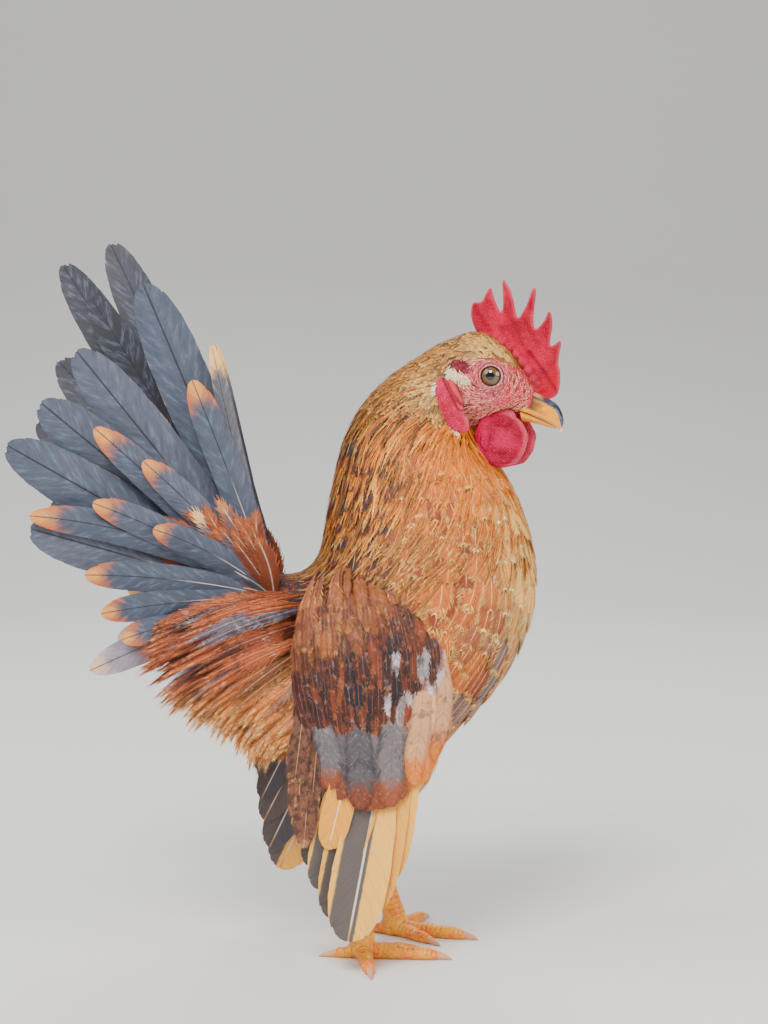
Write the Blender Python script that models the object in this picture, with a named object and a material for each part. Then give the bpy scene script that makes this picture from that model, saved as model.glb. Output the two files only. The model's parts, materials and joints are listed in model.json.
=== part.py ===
"""A life-size serama cockerel: breast up, tail upright and both wings held straight down.

Sizes are in millimetres in the bird's own frame: +X forward, +Y to its left, +Z up, floor at Z = 0.
One row of sections, SPINE, runs from the tail root through rump, body and neck to the face. Each of
those parts is a stretch of it, and all that grows on the body is placed by the same sections.
"""

import math

import bmesh
import bpy
from mathutils import Matrix, Vector

MM = 0.001
GAP = 0.3  # kept between pieces that touch
RIGHT, LEFT = -1, 1

# dorsal x, dorsal z, ventral x, ventral z, half width
SPINE = [
    (-55.0, 131.0, -58.0, 119.0, 4.0),
    (-47.6, 134.0, -54.2, 112.2, 8.0),
    (-42.6, 135.1, -50.0, 90.3, 15.0),
    (-37.5, 135.8, -36.3, 66.5, 24.0),
    (-34.3, 136.9, -10.8, 57.3, 31.0),
    (-31.7, 139.0, 14.6, 73.8, 35.0),
    (-29.6, 141.9, 36.2, 97.6, 37.0),
    (-27.7, 146.6, 47.0, 119.4, 36.5),
    (-26.7, 152.8, 48.7, 137.6, 34.0),
    (-25.2, 161.1, 45.0, 155.7, 30.0),
    (-23.0, 171.9, 39.6, 168.3, 25.5),
    (-19.8, 184.5, 34.5, 176.6, 21.0),
    (-13.7, 196.0, 30.4, 181.8, 17.5),
    (-5.4, 205.3, 28.0, 185.8, 14.8),
    (4.3, 212.4, 27.4, 188.4, 13.2),
    (14.3, 218.5, 28.6, 190.0, 12.4),
    (19.7, 221.0, 30.0, 190.4, 12.2),
    (25.0, 222.8, 31.8, 191.3, 12.0),
    (30.4, 222.4, 34.1, 192.7, 11.5),
    (35.0, 219.9, 37.3, 194.0, 10.6),
    (39.4, 216.0, 40.2, 194.4, 9.2),
    (43.0, 211.4, 42.7, 194.0, 7.6),
    (46.0, 206.3, 44.6, 193.2, 5.9),
    (48.0, 203.0, 46.0, 192.9, 4.9),
]
TAIL_END, RUMP_START, TORSO_START, NECK_START, HEAD_START, FACE_END = 0, 2, 3.2, 10, 13, 23
SIDES = 18
BELLY_SHARE = 0.1  # how much wider the lower part of a section is than its upper part
SINK = 1.5  # how far the body lies inside its outline where hackle or saddle covers it
SINK_FROM, SINK_TO = 6.6, 8.6
HEAD_TURN = math.radians(-13)  # the head looks a little to the bird's right
TURN_FROM, TURN_TO = 8.5, 13.0
TURN_AXIS_X = 12.0

EYE = {"x": 34.2, "z": 207.5, "radius": 4.6, "opening": 3.5, "lid": 0.7}
CHEEK = 11.2  # from the head's middle out to its side at the eye
EAR = {"at": (23.8, 12.4, 210.2), "half": (2.4, 1.5, 1.7)}
NOSTRIL = {"at": (51.4, 4.3, 196.4), "half": (1.3, 0.9, 0.55)}
WATTLE = {
    "x": 36.4, "y": 5.2, "z": 184.9, "half": (9.3, 1.5, 9.9), "splay": 7,
    # the stem at the jaw and a fold behind it: x, y, z and half sizes
    "folds": [(37.2, 4.6, 192.2, (5.4, 1.5, 4.4)), (31.6, 6.0, 187.0, (2.6, 1.5, 7.4))],
}
# two long folds side by side
EARLOBE = {"folds": [(20.7, 196.8, (3.0, 1.7, 9.8)), (23.2, 201.4, (2.0, 1.9, 7.0))], "tilt": 27}
COMB = {
    "blade": 1.9,
    # tips from the back of the head to the front, then the valleys on each side of them
    "tips": [(26.4, 233.9), (32.6, 239.2), (37.1, 241.7), (47.9, 238.7), (53.2, 230.2), (57.3, 219.8)],
    "valleys": [
        (25.6, 228.4), (28.6, 234.4), (36.5, 230.4), (42.0, 228.7), (48.3, 224.2), (53.5, 218.4),
        (57.0, 209.5),
    ],
    "front": [(56.4, 200.4), (54.5, 199.4), (50.6, 200.4)],
    "rear": (28.3, 222.8),
    "base": [(49.5, 198.0), (44.0, 206.0), (38.5, 213.5), (31.0, 219.0)],  # hidden in the forehead
    # the fleshy foot along the forehead: x, z, radius
    "foot": [
        (29.0, 223.0, 1.0), (34.0, 221.5, 1.9), (39.5, 217.5, 2.3), (44.0, 212.5, 2.5), (48.0, 206.5, 2.4),
        (50.4, 202.5, 1.7),
    ],
    "hollow": 0.1,  # how far a point's sides hollow, as a share of their length
    "blunt": 0.9,  # half width of a point at its end
    "thin_from": 222.0,  # above this height the blade grows thinner
}

FEATHER_THICK = 0.6
ROUND_TIP = [(0.0, 0.3), (0.25, 0.68), (0.62, 1.0), (0.87, 0.84), (1.0, 0.28)]
SHORT_TIP = [(0.0, 0.7), (0.5, 1.0), (0.82, 0.84), (1.0, 0.26)]
SHARP_TIP = [(0.0, 0.6), (0.4, 1.0), (0.72, 0.78), (1.0, 0.14)]
LANCE_TIP = [(0.0, 0.4), (0.52, 1.0), (0.82, 0.85), (1.0, 0.24)]

# tip x, how far the tip stands out to the side, tip z, half width; from the highest feather to the lowest
TAIL_ROOT = Vector((-45.0, 0.0, 128.5))
TAIL_TWIST = math.radians(7)
RECTRICES = {
    RIGHT: [
        (-90.7, 10, 239.9, 9.6), (-113.6, 17, 216.5, 9.4), (-125.2, 24, 198.5, 9.6),
        (-136.1, 30, 183.9, 9.4), (-127.5, 35, 155.3, 9.0),
    ],
    LEFT: [
        (-111.5, 4, 236.4, 7.2), (-104.8, 10, 255.4, 8.6), (-123.2, 16, 248.1, 8.2),
        (-126.0, 22, 213.0, 9.2), (-135.0, 28, 190.0, 9.2), (-131.0, 34, 160.0, 9.0),
    ],
}
# the same for the coverts that hang over the tail feathers, then how far each arches upwards
SICKLES = [
    (-66.7, 9, 218.7, 5.0, -1.0), (-73.1, 16, 206.1, 5.8, 0.5), (-106.0, 27, 189.6, 5.6, 1.0),
    (-89.4, 26, 178.1, 5.2, 1.5), (-127.1, 38, 159.9, 5.4, 6.0), (-106.0, 33, 164.0, 5.2, 2.5),
    (-85.7, 29, 154.7, 4.8, 2.5), (-108.2, 38, 139.6, 5.2, 2.0), (-103.0, 37, 126.1, 5.0, 1.5),
    (-96.0, 36, 117.0, 5.2, 1.0), (-106.8, 38, 106.6, 5.6, 1.0),
]
SADDLE_TIPS = [
    (-79.0, 31, 122.5, 6.2), (-82.0, 33, 107.0, 6.4), (-77.5, 33, 93.0, 6.4), (-71.0, 34, 83.5, 6.4),
    (-61.0, 34, 79.0, 6.4), (-53.5, 34, 71.0, 6.4), (-46.5, 33, 70.0, 6.0),
]
SADDLE_ANGLE = math.radians(52)  # from the middle of the back out to the roots
SADDLE_PLACES = (2.45, 2.95)  # of the first and the last root along the spine

WING_SHOULDER = Vector((-8.0, 0.0, 128.0))
WING_SWING = {RIGHT: 0.0, LEFT: math.radians(14)}
# height, rear x, front x, middle y, half thickness
WING_PAD = [
    (143.0, -24.0, -6.0, 28.5, 2.2),
    (138.0, -31.0, 1.0, 31.5, 3.6),
    (128.0, -35.5, 8.0, 35.0, 4.8),
    (114.0, -38.0, 14.5, 37.0, 5.0),
    (100.0, -38.0, 16.6, 38.0, 4.4),
    (88.0, -36.5, 15.8, 38.0, 3.6),
    (78.0, -33.0, 13.0, 37.6, 2.6),
]
WING_WRAP = 2.6  # how far the wing's edges follow the round of the body inwards
# tip x, tip z, root x, half width, from the front of the wing to the back
FLIGHTS = [
    (-8.5, 31.0, 3.0, 5.0), (-12.0, 19.5, 0.5, 6.2), (-17.2, 12.2, -3.0, 7.0), (-23.0, 15.5, -8.0, 7.2),
    (-28.0, 27.0, -13.5, 6.6), (-32.0, 38.0, -19.0, 6.0), (-35.5, 44.0, -25.0, 5.4),
]
FLIGHT_ROOT_Z = 86.0
FLIGHT_Y = (38.2, 38.6)  # out to the side at the root and at the tip
FLIGHT_TWIST = math.radians(16)
# root height, tip height, count, half width, lift of the tips, share of the pad's width that they span
COVERT_TIERS = [
    (100.0, 59.5, 6, 6.2, 2.2, 0.84),
    (119.0, 86.0, 5, 6.6, 2.0, 0.74),
    (134.0, 108.0, 4, 6.8, 1.8, 0.62),
]
COVERT_RISE = 8.0  # the tips at both ends of a tier lie this much higher than in its middle
LAYER = 0.95  # how far apart the faces of crossing feathers lie

# root place along the spine, count, length, half width
HACKLE_TIERS = [(12.8, 4, 19.0, 5.8), (11.5, 5, 19.5, 6.2), (10.3, 6, 27.0, 6.8)]
HACKLE_DRIFT = 0.28  # share of its way round the neck that a feather drifts towards the back
HACKLE_BARE_FRONT = math.radians(42)

# hip, hock and ankle, then the heading of the middle toe in degrees
FEET = {
    RIGHT: {"hip": (-4, -14, 82), "hock": (-24, -17, 42), "foot": (-13.5, -16, 7), "heading": -6},
    LEFT: {"hip": (4, 14, 82), "hock": (-11, 17, 42), "foot": (-2.0, 15, 7), "heading": -16},
}
THIGH_RADIUS, HOCK_RADIUS, SHANK_RADIUS = 12.5, 4.6, 3.5
# turn from the foot's heading towards the outer side in degrees, length, radius at the root
TOES = [
    ("middle", 0, 26.5, 3.0), ("inner", -30, 18.5, 2.6), ("outer", 77, 22.5, 2.7), ("hind", 176, 10.0, 2.4),
]
CLAW_LENGTH = 5.6


def clear_scene():
    for obj in list(bpy.data.objects):
        bpy.data.objects.remove(obj, do_unlink=True)


def blend_stations(stations, place):
    """Smoothly interpolates a list of tuples at a place that is counted in stations."""
    last = len(stations) - 1
    i = min(max(int(math.floor(place)), 0), last - 1)
    f = place - i
    a, b, c, d = (stations[min(max(k, 0), last)] for k in (i - 1, i, i + 1, i + 2))
    return [
        0.5 * (2 * q + (r - p) * f + (2 * p - 5 * q + 4 * r - s) * f**2 + (3 * q - p - 3 * r + s) * f**3)
        for p, q, r, s in zip(a, b, c, d)
    ]


def smooth_step(x):
    x = min(max(x, 0.0), 1.0)
    return x * x * (3 - 2 * x)


def turned(point, share):
    """Turns a point about the neck by a share of the head's turn, which leaves its profile in side view."""
    turn = HEAD_TURN * share
    x = (point.x - TURN_AXIS_X) / math.cos(turn)
    y = point.y
    return Vector((
        TURN_AXIS_X + x * math.cos(turn) - y * math.sin(turn),
        x * math.sin(turn) + y * math.cos(turn),
        point.z,
    ))


def turn_share(place):
    return smooth_step((place - TURN_FROM) / (TURN_TO - TURN_FROM))


def on_body(place, angle, lift=0.0, shift=0.0):
    """A point on the body's surface. Angle 0 is its back and a right angle is its left side."""
    dorsal_x, dorsal_z, ventral_x, ventral_z, half = blend_stations(SPINE, place)
    middle = Vector(((dorsal_x + ventral_x) / 2, 0, (dorsal_z + ventral_z) / 2))
    up = Vector(((dorsal_x - ventral_x) / 2, 0, (dorsal_z - ventral_z) / 2))
    width = half * (1 - BELLY_SHARE * math.cos(angle))
    point = middle + up * math.cos(angle) + Vector((0, width * math.sin(angle), 0))
    outward = up.normalized() * math.cos(angle) / up.length + Vector((0, math.sin(angle) / half, 0))
    forward = Vector((up.z, 0, -up.x)).normalized()
    return turned(point + outward.normalized() * lift + forward * shift, turn_share(place))


def on_head(x, y, z):
    """A point of the head, given where it would be if the head looked straight ahead."""
    return turned(Vector((x, y, z)), 1.0)


def body_ring(place, shift=0.0, side=None):
    """A section of the body, whole or only the half on one side of a thin cut down its middle."""
    covered = smooth_step((place - SINK_FROM) / (SINK_TO - SINK_FROM)) if place < HEAD_START else 0.0
    if side is None:
        return [on_body(place, math.tau * k / SIDES, -SINK * covered, shift) for k in range(SIDES)]
    half = SIDES // 2
    ring = [on_body(place, side * math.pi * k / half, -SINK * covered, shift) for k in range(half + 1)]
    for point in ring:
        point.y = side * max(abs(point.y), GAP / 2)
    return ring


def mesh_object(name, bm):
    """Makes an object of a closed surface, with its faces pointing out."""
    bmesh.ops.recalc_face_normals(bm, faces=bm.faces)
    if bm.calc_volume(signed=True) < 0:
        bmesh.ops.reverse_faces(bm, faces=bm.faces)
    mesh = bpy.data.meshes.new(name)
    bm.to_mesh(mesh)
    bm.free()
    obj = bpy.data.objects.new(name, mesh)
    bpy.context.scene.collection.objects.link(obj)
    return obj


def loft(name, rings):
    """A closed skin over a row of rings, with a flat cap on each end."""
    bm = bmesh.new()
    rows = [[bm.verts.new(point * MM) for point in ring] for ring in rings]
    for low, high in zip(rows, rows[1:]):
        for k in range(len(low)):
            j = (k + 1) % len(low)
            bm.faces.new((low[k], low[j], high[j], high[k]))
    bm.faces.new(rows[0])
    bm.faces.new(rows[-1])
    return mesh_object(name, bm)


def body_stretch(name, start, end, steps, side=None):
    """A length of the spine's body, which keeps the gap to the stretch behind it."""
    places = [start + (end - start) * k / steps for k in range(steps + 1)]
    return loft(name, [body_ring(place, 0.0 if k else GAP, side) for k, place in enumerate(places)])


def vane(path, across, outline, half_width, thick=FEATHER_THICK, camber=0.0):
    """A thin feather along a path. Both faces are split alike into triangles, so that they never cross."""
    bm = bmesh.new()
    rows = []
    spread = (-1, 0, 1) if camber else (-1, 1)
    for place, share in outline:
        here = path(place)
        along = (path(min(place + 0.02, 1.0)) - path(max(place - 0.02, 0.0))).normalized()
        side = (across - along * across.dot(along)).normalized()
        out = along.cross(side)
        points = [here + side * half_width * share * p + out * camber * share * (1 - abs(p)) for p in spread]
        lift = out * thick / 2
        row = [point + lift for point in points] + [point - lift for point in reversed(points)]
        rows.append([bm.verts.new(point * MM) for point in row])
    count = len(spread)
    last = 2 * count - 1
    for a, b in zip(rows, rows[1:]):
        for p in range(count - 1):
            q, under_p, under_q = p + 1, last - p, last - p - 1
            bm.faces.new((a[p], a[q], b[q]))
            bm.faces.new((a[p], b[q], b[p]))
            bm.faces.new((a[under_p], b[under_q], a[under_q]))
            bm.faces.new((a[under_p], b[under_p], b[under_q]))
        for p, q in ((count - 1, count), (last, 0)):
            bm.faces.new((a[p], a[q], b[q]))
            bm.faces.new((a[p], b[q], b[p]))
    for row in (rows[0], rows[-1]):
        for p in range(count - 1):
            bm.faces.new((row[p], row[p + 1], row[last - p - 1], row[last - p]))
    return mesh_object("vane", bm)


def ellipsoid(name, middle, halves, turn=Matrix.Identity(3), segments=16, rings=10):
    bm = bmesh.new()
    bmesh.ops.create_uvsphere(bm, u_segments=segments, v_segments=rings, radius=1.0)
    for vert in bm.verts:
        vert.co = (middle + turn @ Vector([vert.co[i] * halves[i] for i in range(3)])) * MM
    return mesh_object(name, bm)


def torus(name, radius, thickness):
    bpy.ops.mesh.primitive_torus_add(
        major_radius=radius * MM, minor_radius=thickness * MM, major_segments=16, minor_segments=5
    )
    ring = bpy.context.active_object
    ring.name = name
    return ring


def box(name, low, high):
    bm = bmesh.new()
    bmesh.ops.create_cube(bm, size=1.0)
    low, high = Vector(low), Vector(high)
    for vert in bm.verts:
        vert.co = Vector([(low[i] + high[i]) / 2 + vert.co[i] * (high[i] - low[i]) for i in range(3)]) * MM
    return mesh_object(name, bm)


def tube(name, path, radii, sides=10, flat=1.0):
    """A round tapered piece through a list of points. Flat under 1 makes it lower than it is wide."""
    rings = []
    side = Vector((0, 1, 0))
    for k, here in enumerate(path):
        along = (path[min(k + 1, len(path) - 1)] - path[max(k - 1, 0)]).normalized()
        if k == 0:
            side = along.cross(Vector((0, 0, 1)) if abs(along.z) < 0.9 else Vector((1, 0, 0)))
        side = (side - along * along.dot(side)).normalized()
        up = side.cross(along)
        turns = [math.tau * n / sides for n in range(sides)]
        rings.append([here + (side * math.cos(a) + up * math.sin(a) * flat) * radii[k] for a in turns])
    return loft(name, rings)


def keep_largest(obj):
    """Leaves only the largest closed surface of a mesh, and drops loose scraps and sealed hollows."""
    bm = bmesh.new()
    bm.from_mesh(obj.data)
    todo, groups = set(bm.verts), []
    while todo:
        group, edge = set(), [todo.pop()]
        while edge:
            vert = edge.pop()
            group.add(vert)
            near = {e.other_vert(vert) for e in vert.link_edges} & todo
            todo -= near
            edge.extend(near)
        groups.append(group)
    largest = max(groups, key=len)
    bmesh.ops.delete(bm, geom=[v for v in bm.verts if v not in largest], context="VERTS")
    bm.to_mesh(obj.data)
    bm.free()


def apply_boolean(obj, operation, others):
    """Joins or cuts obj with the other pieces, which are then removed."""
    tools = bpy.data.collections.new("tools")
    bpy.context.scene.collection.children.link(tools)
    for other in others:
        other.users_collection[0].objects.unlink(other)
        tools.objects.link(other)
    modifier = obj.modifiers.new(operation.lower(), "BOOLEAN")
    modifier.operation = operation
    modifier.operand_type = "COLLECTION"
    modifier.collection = tools
    modifier.solver = "MANIFOLD"
    graph = bpy.context.evaluated_depsgraph_get()
    result = bpy.data.meshes.new_from_object(obj.evaluated_get(graph))
    obj.modifiers.clear()
    obj.data = result
    for other in others:
        bpy.data.objects.remove(other, do_unlink=True)
    bpy.data.collections.remove(tools)
    keep_largest(obj)
    return obj


def swollen(obj, by=GAP):
    """A copy of a piece that is larger by a margin all round."""
    bm = bmesh.new()
    bm.from_mesh(obj.data)
    bm.normal_update()
    for vert, co in [(vert, vert.co + vert.normal * by * MM) for vert in bm.verts]:
        vert.co = co
    return mesh_object("swollen", bm)


def finish(obj, name, colour, roughness, parent):
    """Names a piece, gives it its own material and hangs it on the bird."""
    obj.name = name
    obj.data.name = name
    material = bpy.data.materials.new(name)
    material.use_nodes = True
    shader = material.node_tree.nodes["Principled BSDF"]
    shader.inputs["Base Color"].default_value = (*colour, 1.0)
    shader.inputs["Roughness"].default_value = roughness
    shader.inputs["Metallic"].default_value = 0.0
    obj.data.materials.clear()
    obj.data.materials.append(material)
    obj.data.shade_smooth()
    obj.data.set_sharp_from_angle(angle=math.radians(50))
    bird.objects.link(obj)
    bpy.context.scene.collection.objects.unlink(obj)
    obj.parent = parent
    return obj


def fan_feather(side, tip, half_width, outset, outline, arch=0.0):
    """A tail feather in the tented fan. Its lower edge stands out over the next one, as roof tiles do."""
    root = TAIL_ROOT + Vector((0, side * outset, 0))
    run = Vector((tip[0], side * tip[1], tip[2])) - root
    upward = Vector((run.z, 0, -run.x)).normalized()

    def path(s):
        return root + run * s + upward * 4 * arch * s * (1 - s)

    across = (upward * math.cos(TAIL_TWIST) - Vector((0, side * math.sin(TAIL_TWIST), 0))) * side
    return vane(path, across, outline, half_width)


def make_tail(side, neighbours):
    """Half of the tail: its half of the root, its tail feathers and the coverts over them."""
    pieces = [body_stretch("tail", TAIL_END, RUMP_START, 5, side)]
    for k, (x, y, z, half) in enumerate(RECTRICES[side]):
        pieces.append(fan_feather(side, (x, y, z), half, (k + 1) * LAYER, ROUND_TIP))
    outermost = (len(RECTRICES[side]) + 1) * LAYER
    for k, (x, y, z, half, arch) in enumerate(SICKLES):
        pieces.append(fan_feather(side, (x, y, z), half, outermost + (k % 3) * LAYER, LANCE_TIP, arch))
    return cut_clear(apply_boolean(pieces[0], "UNION", pieces[1:]), neighbours)


def cut_clear(piece, neighbours):
    """Cuts a piece back from its neighbours by the gap."""
    return apply_boolean(piece, "DIFFERENCE", [swollen(neighbour) for neighbour in neighbours])


def make_saddle(side, neighbours):
    """Half of the rump with its saddle feathers, which hang over the flank."""
    pieces = [body_stretch("saddle", RUMP_START, TORSO_START, 3, side)]
    last = len(SADDLE_TIPS) - 1
    for k, (x, y, z, half) in enumerate(SADDLE_TIPS):
        first_place, last_place = SADDLE_PLACES
        root = on_body(first_place + (last_place - first_place) * k / last, side * SADDLE_ANGLE, lift=-2.5)
        run = Vector((x, 0, z)) - Vector((root.x, 0, root.z))
        layer = LAYER * (k % 2)

        def path(s, root=root, run=run, reach=y, layer=layer):
            out = abs(root.y) + layer + (reach - abs(root.y)) * math.sin(min(s * 1.8, 1.0) * math.pi / 2)
            return Vector((root.x, side * out, root.z)) + run * s

        across = Vector((-run.z, 0, run.x)) * side
        pieces.append(vane(path, across, LANCE_TIP, half))
    return cut_clear(apply_boolean(pieces[0], "UNION", pieces[1:]), neighbours)


def make_neck(neighbours):
    """The neck with its hackle, whose lowest feathers lie over the shoulders."""
    pieces = [body_stretch("neck", NECK_START, HEAD_START, 6)]
    for tier, (place, count, length, half) in enumerate(HACKLE_TIERS):
        for side in (RIGHT, LEFT):
            for k in range(count):
                share = (k + 0.5 * (tier % 2) + 0.25) / count
                angle = (math.pi - HACKLE_BARE_FRONT) * share
                reach = length * (1.0 - 0.35 * share)
                lift = 0.3 + LAYER * (k % 2)

                def path(s, place=place, angle=angle, reach=reach, lift=lift):
                    low = place - reach * s / 10.5
                    drift = angle * (1 - HACKLE_DRIFT * s)
                    return on_body(low, side * drift, lift - 3.2 * (1 - min(s / 0.4, 1.0)))

                here, beside = on_body(place - 0.8, side * angle), on_body(place - 0.8, side * (angle + 0.1))
                pieces.append(vane(path, (beside - here).normalized(), SHARP_TIP, half))
    return cut_clear(apply_boolean(pieces[0], "UNION", pieces[1:]), neighbours)


def eye_middle(side):
    """The eyeball sits as deep as leaves its opening level with the cheek."""
    depth = math.sqrt(EYE["radius"] ** 2 - EYE["opening"] ** 2)
    return on_head(EYE["x"], side * (CHEEK - depth), EYE["z"])


def make_head():
    core = body_stretch("head", HEAD_START, FACE_END, 12)
    pieces = []
    for side in (RIGHT, LEFT):
        lids = torus("lids", EYE["opening"] + EYE["lid"] * 0.8, EYE["lid"])
        lids.data.transform(Matrix.Rotation(HEAD_TURN, 4, "Z") @ Matrix.Rotation(math.radians(90), 4, "X"))
        lids.data.transform(Matrix.Translation(on_head(EYE["x"], side * CHEEK, EYE["z"]) * MM))
        pieces.append(lids)
    core = apply_boolean(core, "UNION", pieces)
    cuts = []
    for side in (RIGHT, LEFT):
        reach = EYE["radius"] + GAP
        cuts.append(ellipsoid("socket", eye_middle(side), (reach, reach, reach), segments=12, rings=8))
        x, y, z = EAR["at"]
        cuts.append(ellipsoid("ear", on_head(x, side * y, z), EAR["half"], segments=10, rings=6))
    return apply_boolean(core, "DIFFERENCE", cuts)


def make_eye(side):
    radius = EYE["radius"]
    return ellipsoid("eye", eye_middle(side), (radius, radius, radius), segments=12, rings=8)


def comb_outline():
    """The comb's edge: each point rises on two sides that hollow towards its foot."""
    edge = [Vector((*COMB["rear"], 0))]
    for k, tip in enumerate(COMB["tips"]):
        tip = Vector((*tip, 0))
        before, after = (Vector((*COMB["valleys"][n], 0)) for n in (k, k + 1))
        up = (tip - (before + after) / 2).normalized()
        rear, front = (tip - up * COMB["blunt"] + Vector((up.y, -up.x, 0)) * COMB["blunt"] * way for way in (-1, 1))
        for start, end in ((before, rear), (rear, tip), (tip, front), (front, after)):
            run = end - start
            inward = Vector((run.y, -run.x, 0)) * COMB["hollow"]
            steps = (0.0, 0.35, 0.7) if run.length > 2 * COMB["blunt"] else (0.0,)
            edge.extend(start + run * s + inward * 4 * s * (1 - s) for s in steps)
    edge.append(Vector((*COMB["valleys"][-1], 0)))
    edge.extend(Vector((*point, 0)) for point in COMB["front"])
    return edge


def make_comb(neighbours):
    """An upright blade with its fleshy root along the forehead, cut to sit on the head."""
    edge = comb_outline()
    base = [Vector((*point, 0)) for point in COMB["base"]]
    curve = bpy.data.curves.new("comb", "CURVE")
    curve.dimensions = "2D"
    curve.fill_mode = "BOTH"
    curve.extrude = COMB["blade"] / 2 * MM
    spline = curve.splines.new("POLY")
    outline = edge + base
    spline.points.add(len(outline) - 1)
    for point, corner in zip(spline.points, outline):
        point.co = (corner.x * MM, corner.y * MM, 0, 1)
    spline.use_cyclic_u = True
    flat = bpy.data.objects.new("comb_flat", curve)
    bpy.context.scene.collection.objects.link(flat)
    graph = bpy.context.evaluated_depsgraph_get()
    mesh = bpy.data.meshes.new_from_object(flat.evaluated_get(graph))
    bpy.data.objects.remove(flat, do_unlink=True)
    bm = bmesh.new()
    bm.from_mesh(mesh)
    bmesh.ops.remove_doubles(bm, verts=bm.verts, dist=1e-5)
    for vert in bm.verts:
        x, z, y = vert.co / MM
        thinned = 1.0 - 0.35 * smooth_step((z - COMB["thin_from"]) / 18)
        vert.co = on_head(x, y * thinned, z) * MM
    blade = mesh_object("comb", bm)
    foot = tube(
        "foot",
        [on_head(x, 0, z) for x, z, radius in COMB["foot"]],
        [radius for x, z, radius in COMB["foot"]],
    )
    return cut_clear(apply_boolean(blade, "UNION", [foot]), neighbours)


def make_wattle(side, neighbours):
    half = WATTLE["half"]
    middle = on_head(WATTLE["x"], side * WATTLE["y"], WATTLE["z"])
    turn = Matrix.Rotation(HEAD_TURN, 3, "Z") @ Matrix.Rotation(side * math.radians(WATTLE["splay"]), 3, "X")
    lobe = ellipsoid("wattle", middle, half, turn, segments=14, rings=8)
    folds = [
        ellipsoid("fold", on_head(x, side * y, z), size, turn, segments=8, rings=5)
        for x, y, z, size in WATTLE["folds"]
    ]
    return cut_clear(apply_boolean(lobe, "UNION", folds), neighbours)


def make_earlobe(side, neighbours):
    turn = (
        Matrix.Rotation(HEAD_TURN, 3, "Z")
        @ Matrix.Rotation(side * math.radians(3), 3, "X")
        @ Matrix.Rotation(math.radians(-EARLOBE["tilt"]), 3, "Y")
    )
    lobes = [
        ellipsoid("earlobe", on_head(x, side * 12.6, z), size, turn, segments=10, rings=7)
        for x, z, size in EARLOBE["folds"]
    ]
    return cut_clear(apply_boolean(lobes[0], "UNION", lobes[1:]), neighbours)


def beak_half(name, sections, upward):
    """Half a beak: an arched shell of sections over a flat cutting edge."""
    rings = []
    for edge_x, edge_z, crown_x, crown_z, half in sections:
        edge = Vector((edge_x, 0, edge_z))
        crown = Vector((crown_x, 0, crown_z)) - edge
        ring = []
        for k in range(9):
            a = math.pi * k / 8
            bulge = edge + crown * math.sin(a) ** 0.8
            ring.append(on_head(bulge.x, half * math.cos(a) * upward, bulge.z))
        rings.append(ring)
    return loft(name, rings)


def make_beak(head_core):
    # cutting edge x, z, then crown x, z, then half width
    upper = beak_half("beak_upper", [
        (43.2, 195.3, 46.6, 202.6, 5.2), (46.4, 194.2, 49.6, 200.9, 4.7), (49.8, 192.8, 52.8, 199.0, 3.9),
        (52.8, 191.4, 55.4, 197.2, 3.1), (55.0, 190.3, 57.0, 194.6, 2.2), (56.1, 189.2, 57.8, 191.7, 1.3),
        (56.6, 187.6, 57.5, 188.2, 0.4),
    ], 1)
    lower = beak_half("beak_lower", [
        (43.4, 194.8, 43.6, 191.4, 4.6), (46.3, 193.7, 46.9, 190.9, 4.0), (49.6, 192.3, 50.4, 189.9, 3.1),
        (52.5, 190.95, 53.2, 189.2, 2.2), (54.5, 189.95, 55.0, 188.8, 1.2), (55.4, 189.3, 55.6, 188.9, 0.5),
    ], -1)
    upper = cut_clear(upper, [head_core])
    lower = cut_clear(lower, [head_core, upper])
    x, y, z = NOSTRIL["at"]
    nostrils = [
        ellipsoid("nostril", on_head(x, side * y, z), NOSTRIL["half"], segments=8, rings=6)
        for side in (RIGHT, LEFT)
    ]
    return apply_boolean(upper, "DIFFERENCE", nostrils), lower


def swung(point, side):
    """Swings a point of a wing backwards about its shoulder."""
    turn = WING_SWING[side]
    x, z = point.x - WING_SHOULDER.x, point.z - WING_SHOULDER.z
    return Vector((
        WING_SHOULDER.x + x * math.cos(turn) + z * math.sin(turn),
        point.y,
        WING_SHOULDER.z - x * math.sin(turn) + z * math.cos(turn),
    ))


def pad_at(height):
    """The wing pad's rear, front, middle y and half thickness at a height."""
    for (z_a, *a), (z_b, *b) in zip(WING_PAD, WING_PAD[1:]):
        if height >= z_b:
            share = min((z_a - height) / (z_a - z_b), 1.0)
            return [p + (q - p) * share for p, q in zip(a, b)]
    return list(WING_PAD[-1][1:])


def on_wing(side, across, height, lift):
    """A point on the outer face of the wing pad. Across runs from -1 at its rear to 1 at its front."""
    rear, front, middle, half = pad_at(height)
    bulge = half * math.sqrt(max(1 - across * across, 0.0))
    x = (rear + front) / 2 + (front - rear) / 2 * across
    return swung(Vector((x, side * (middle + bulge + lift - WING_WRAP * across * across), height)), side)


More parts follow.
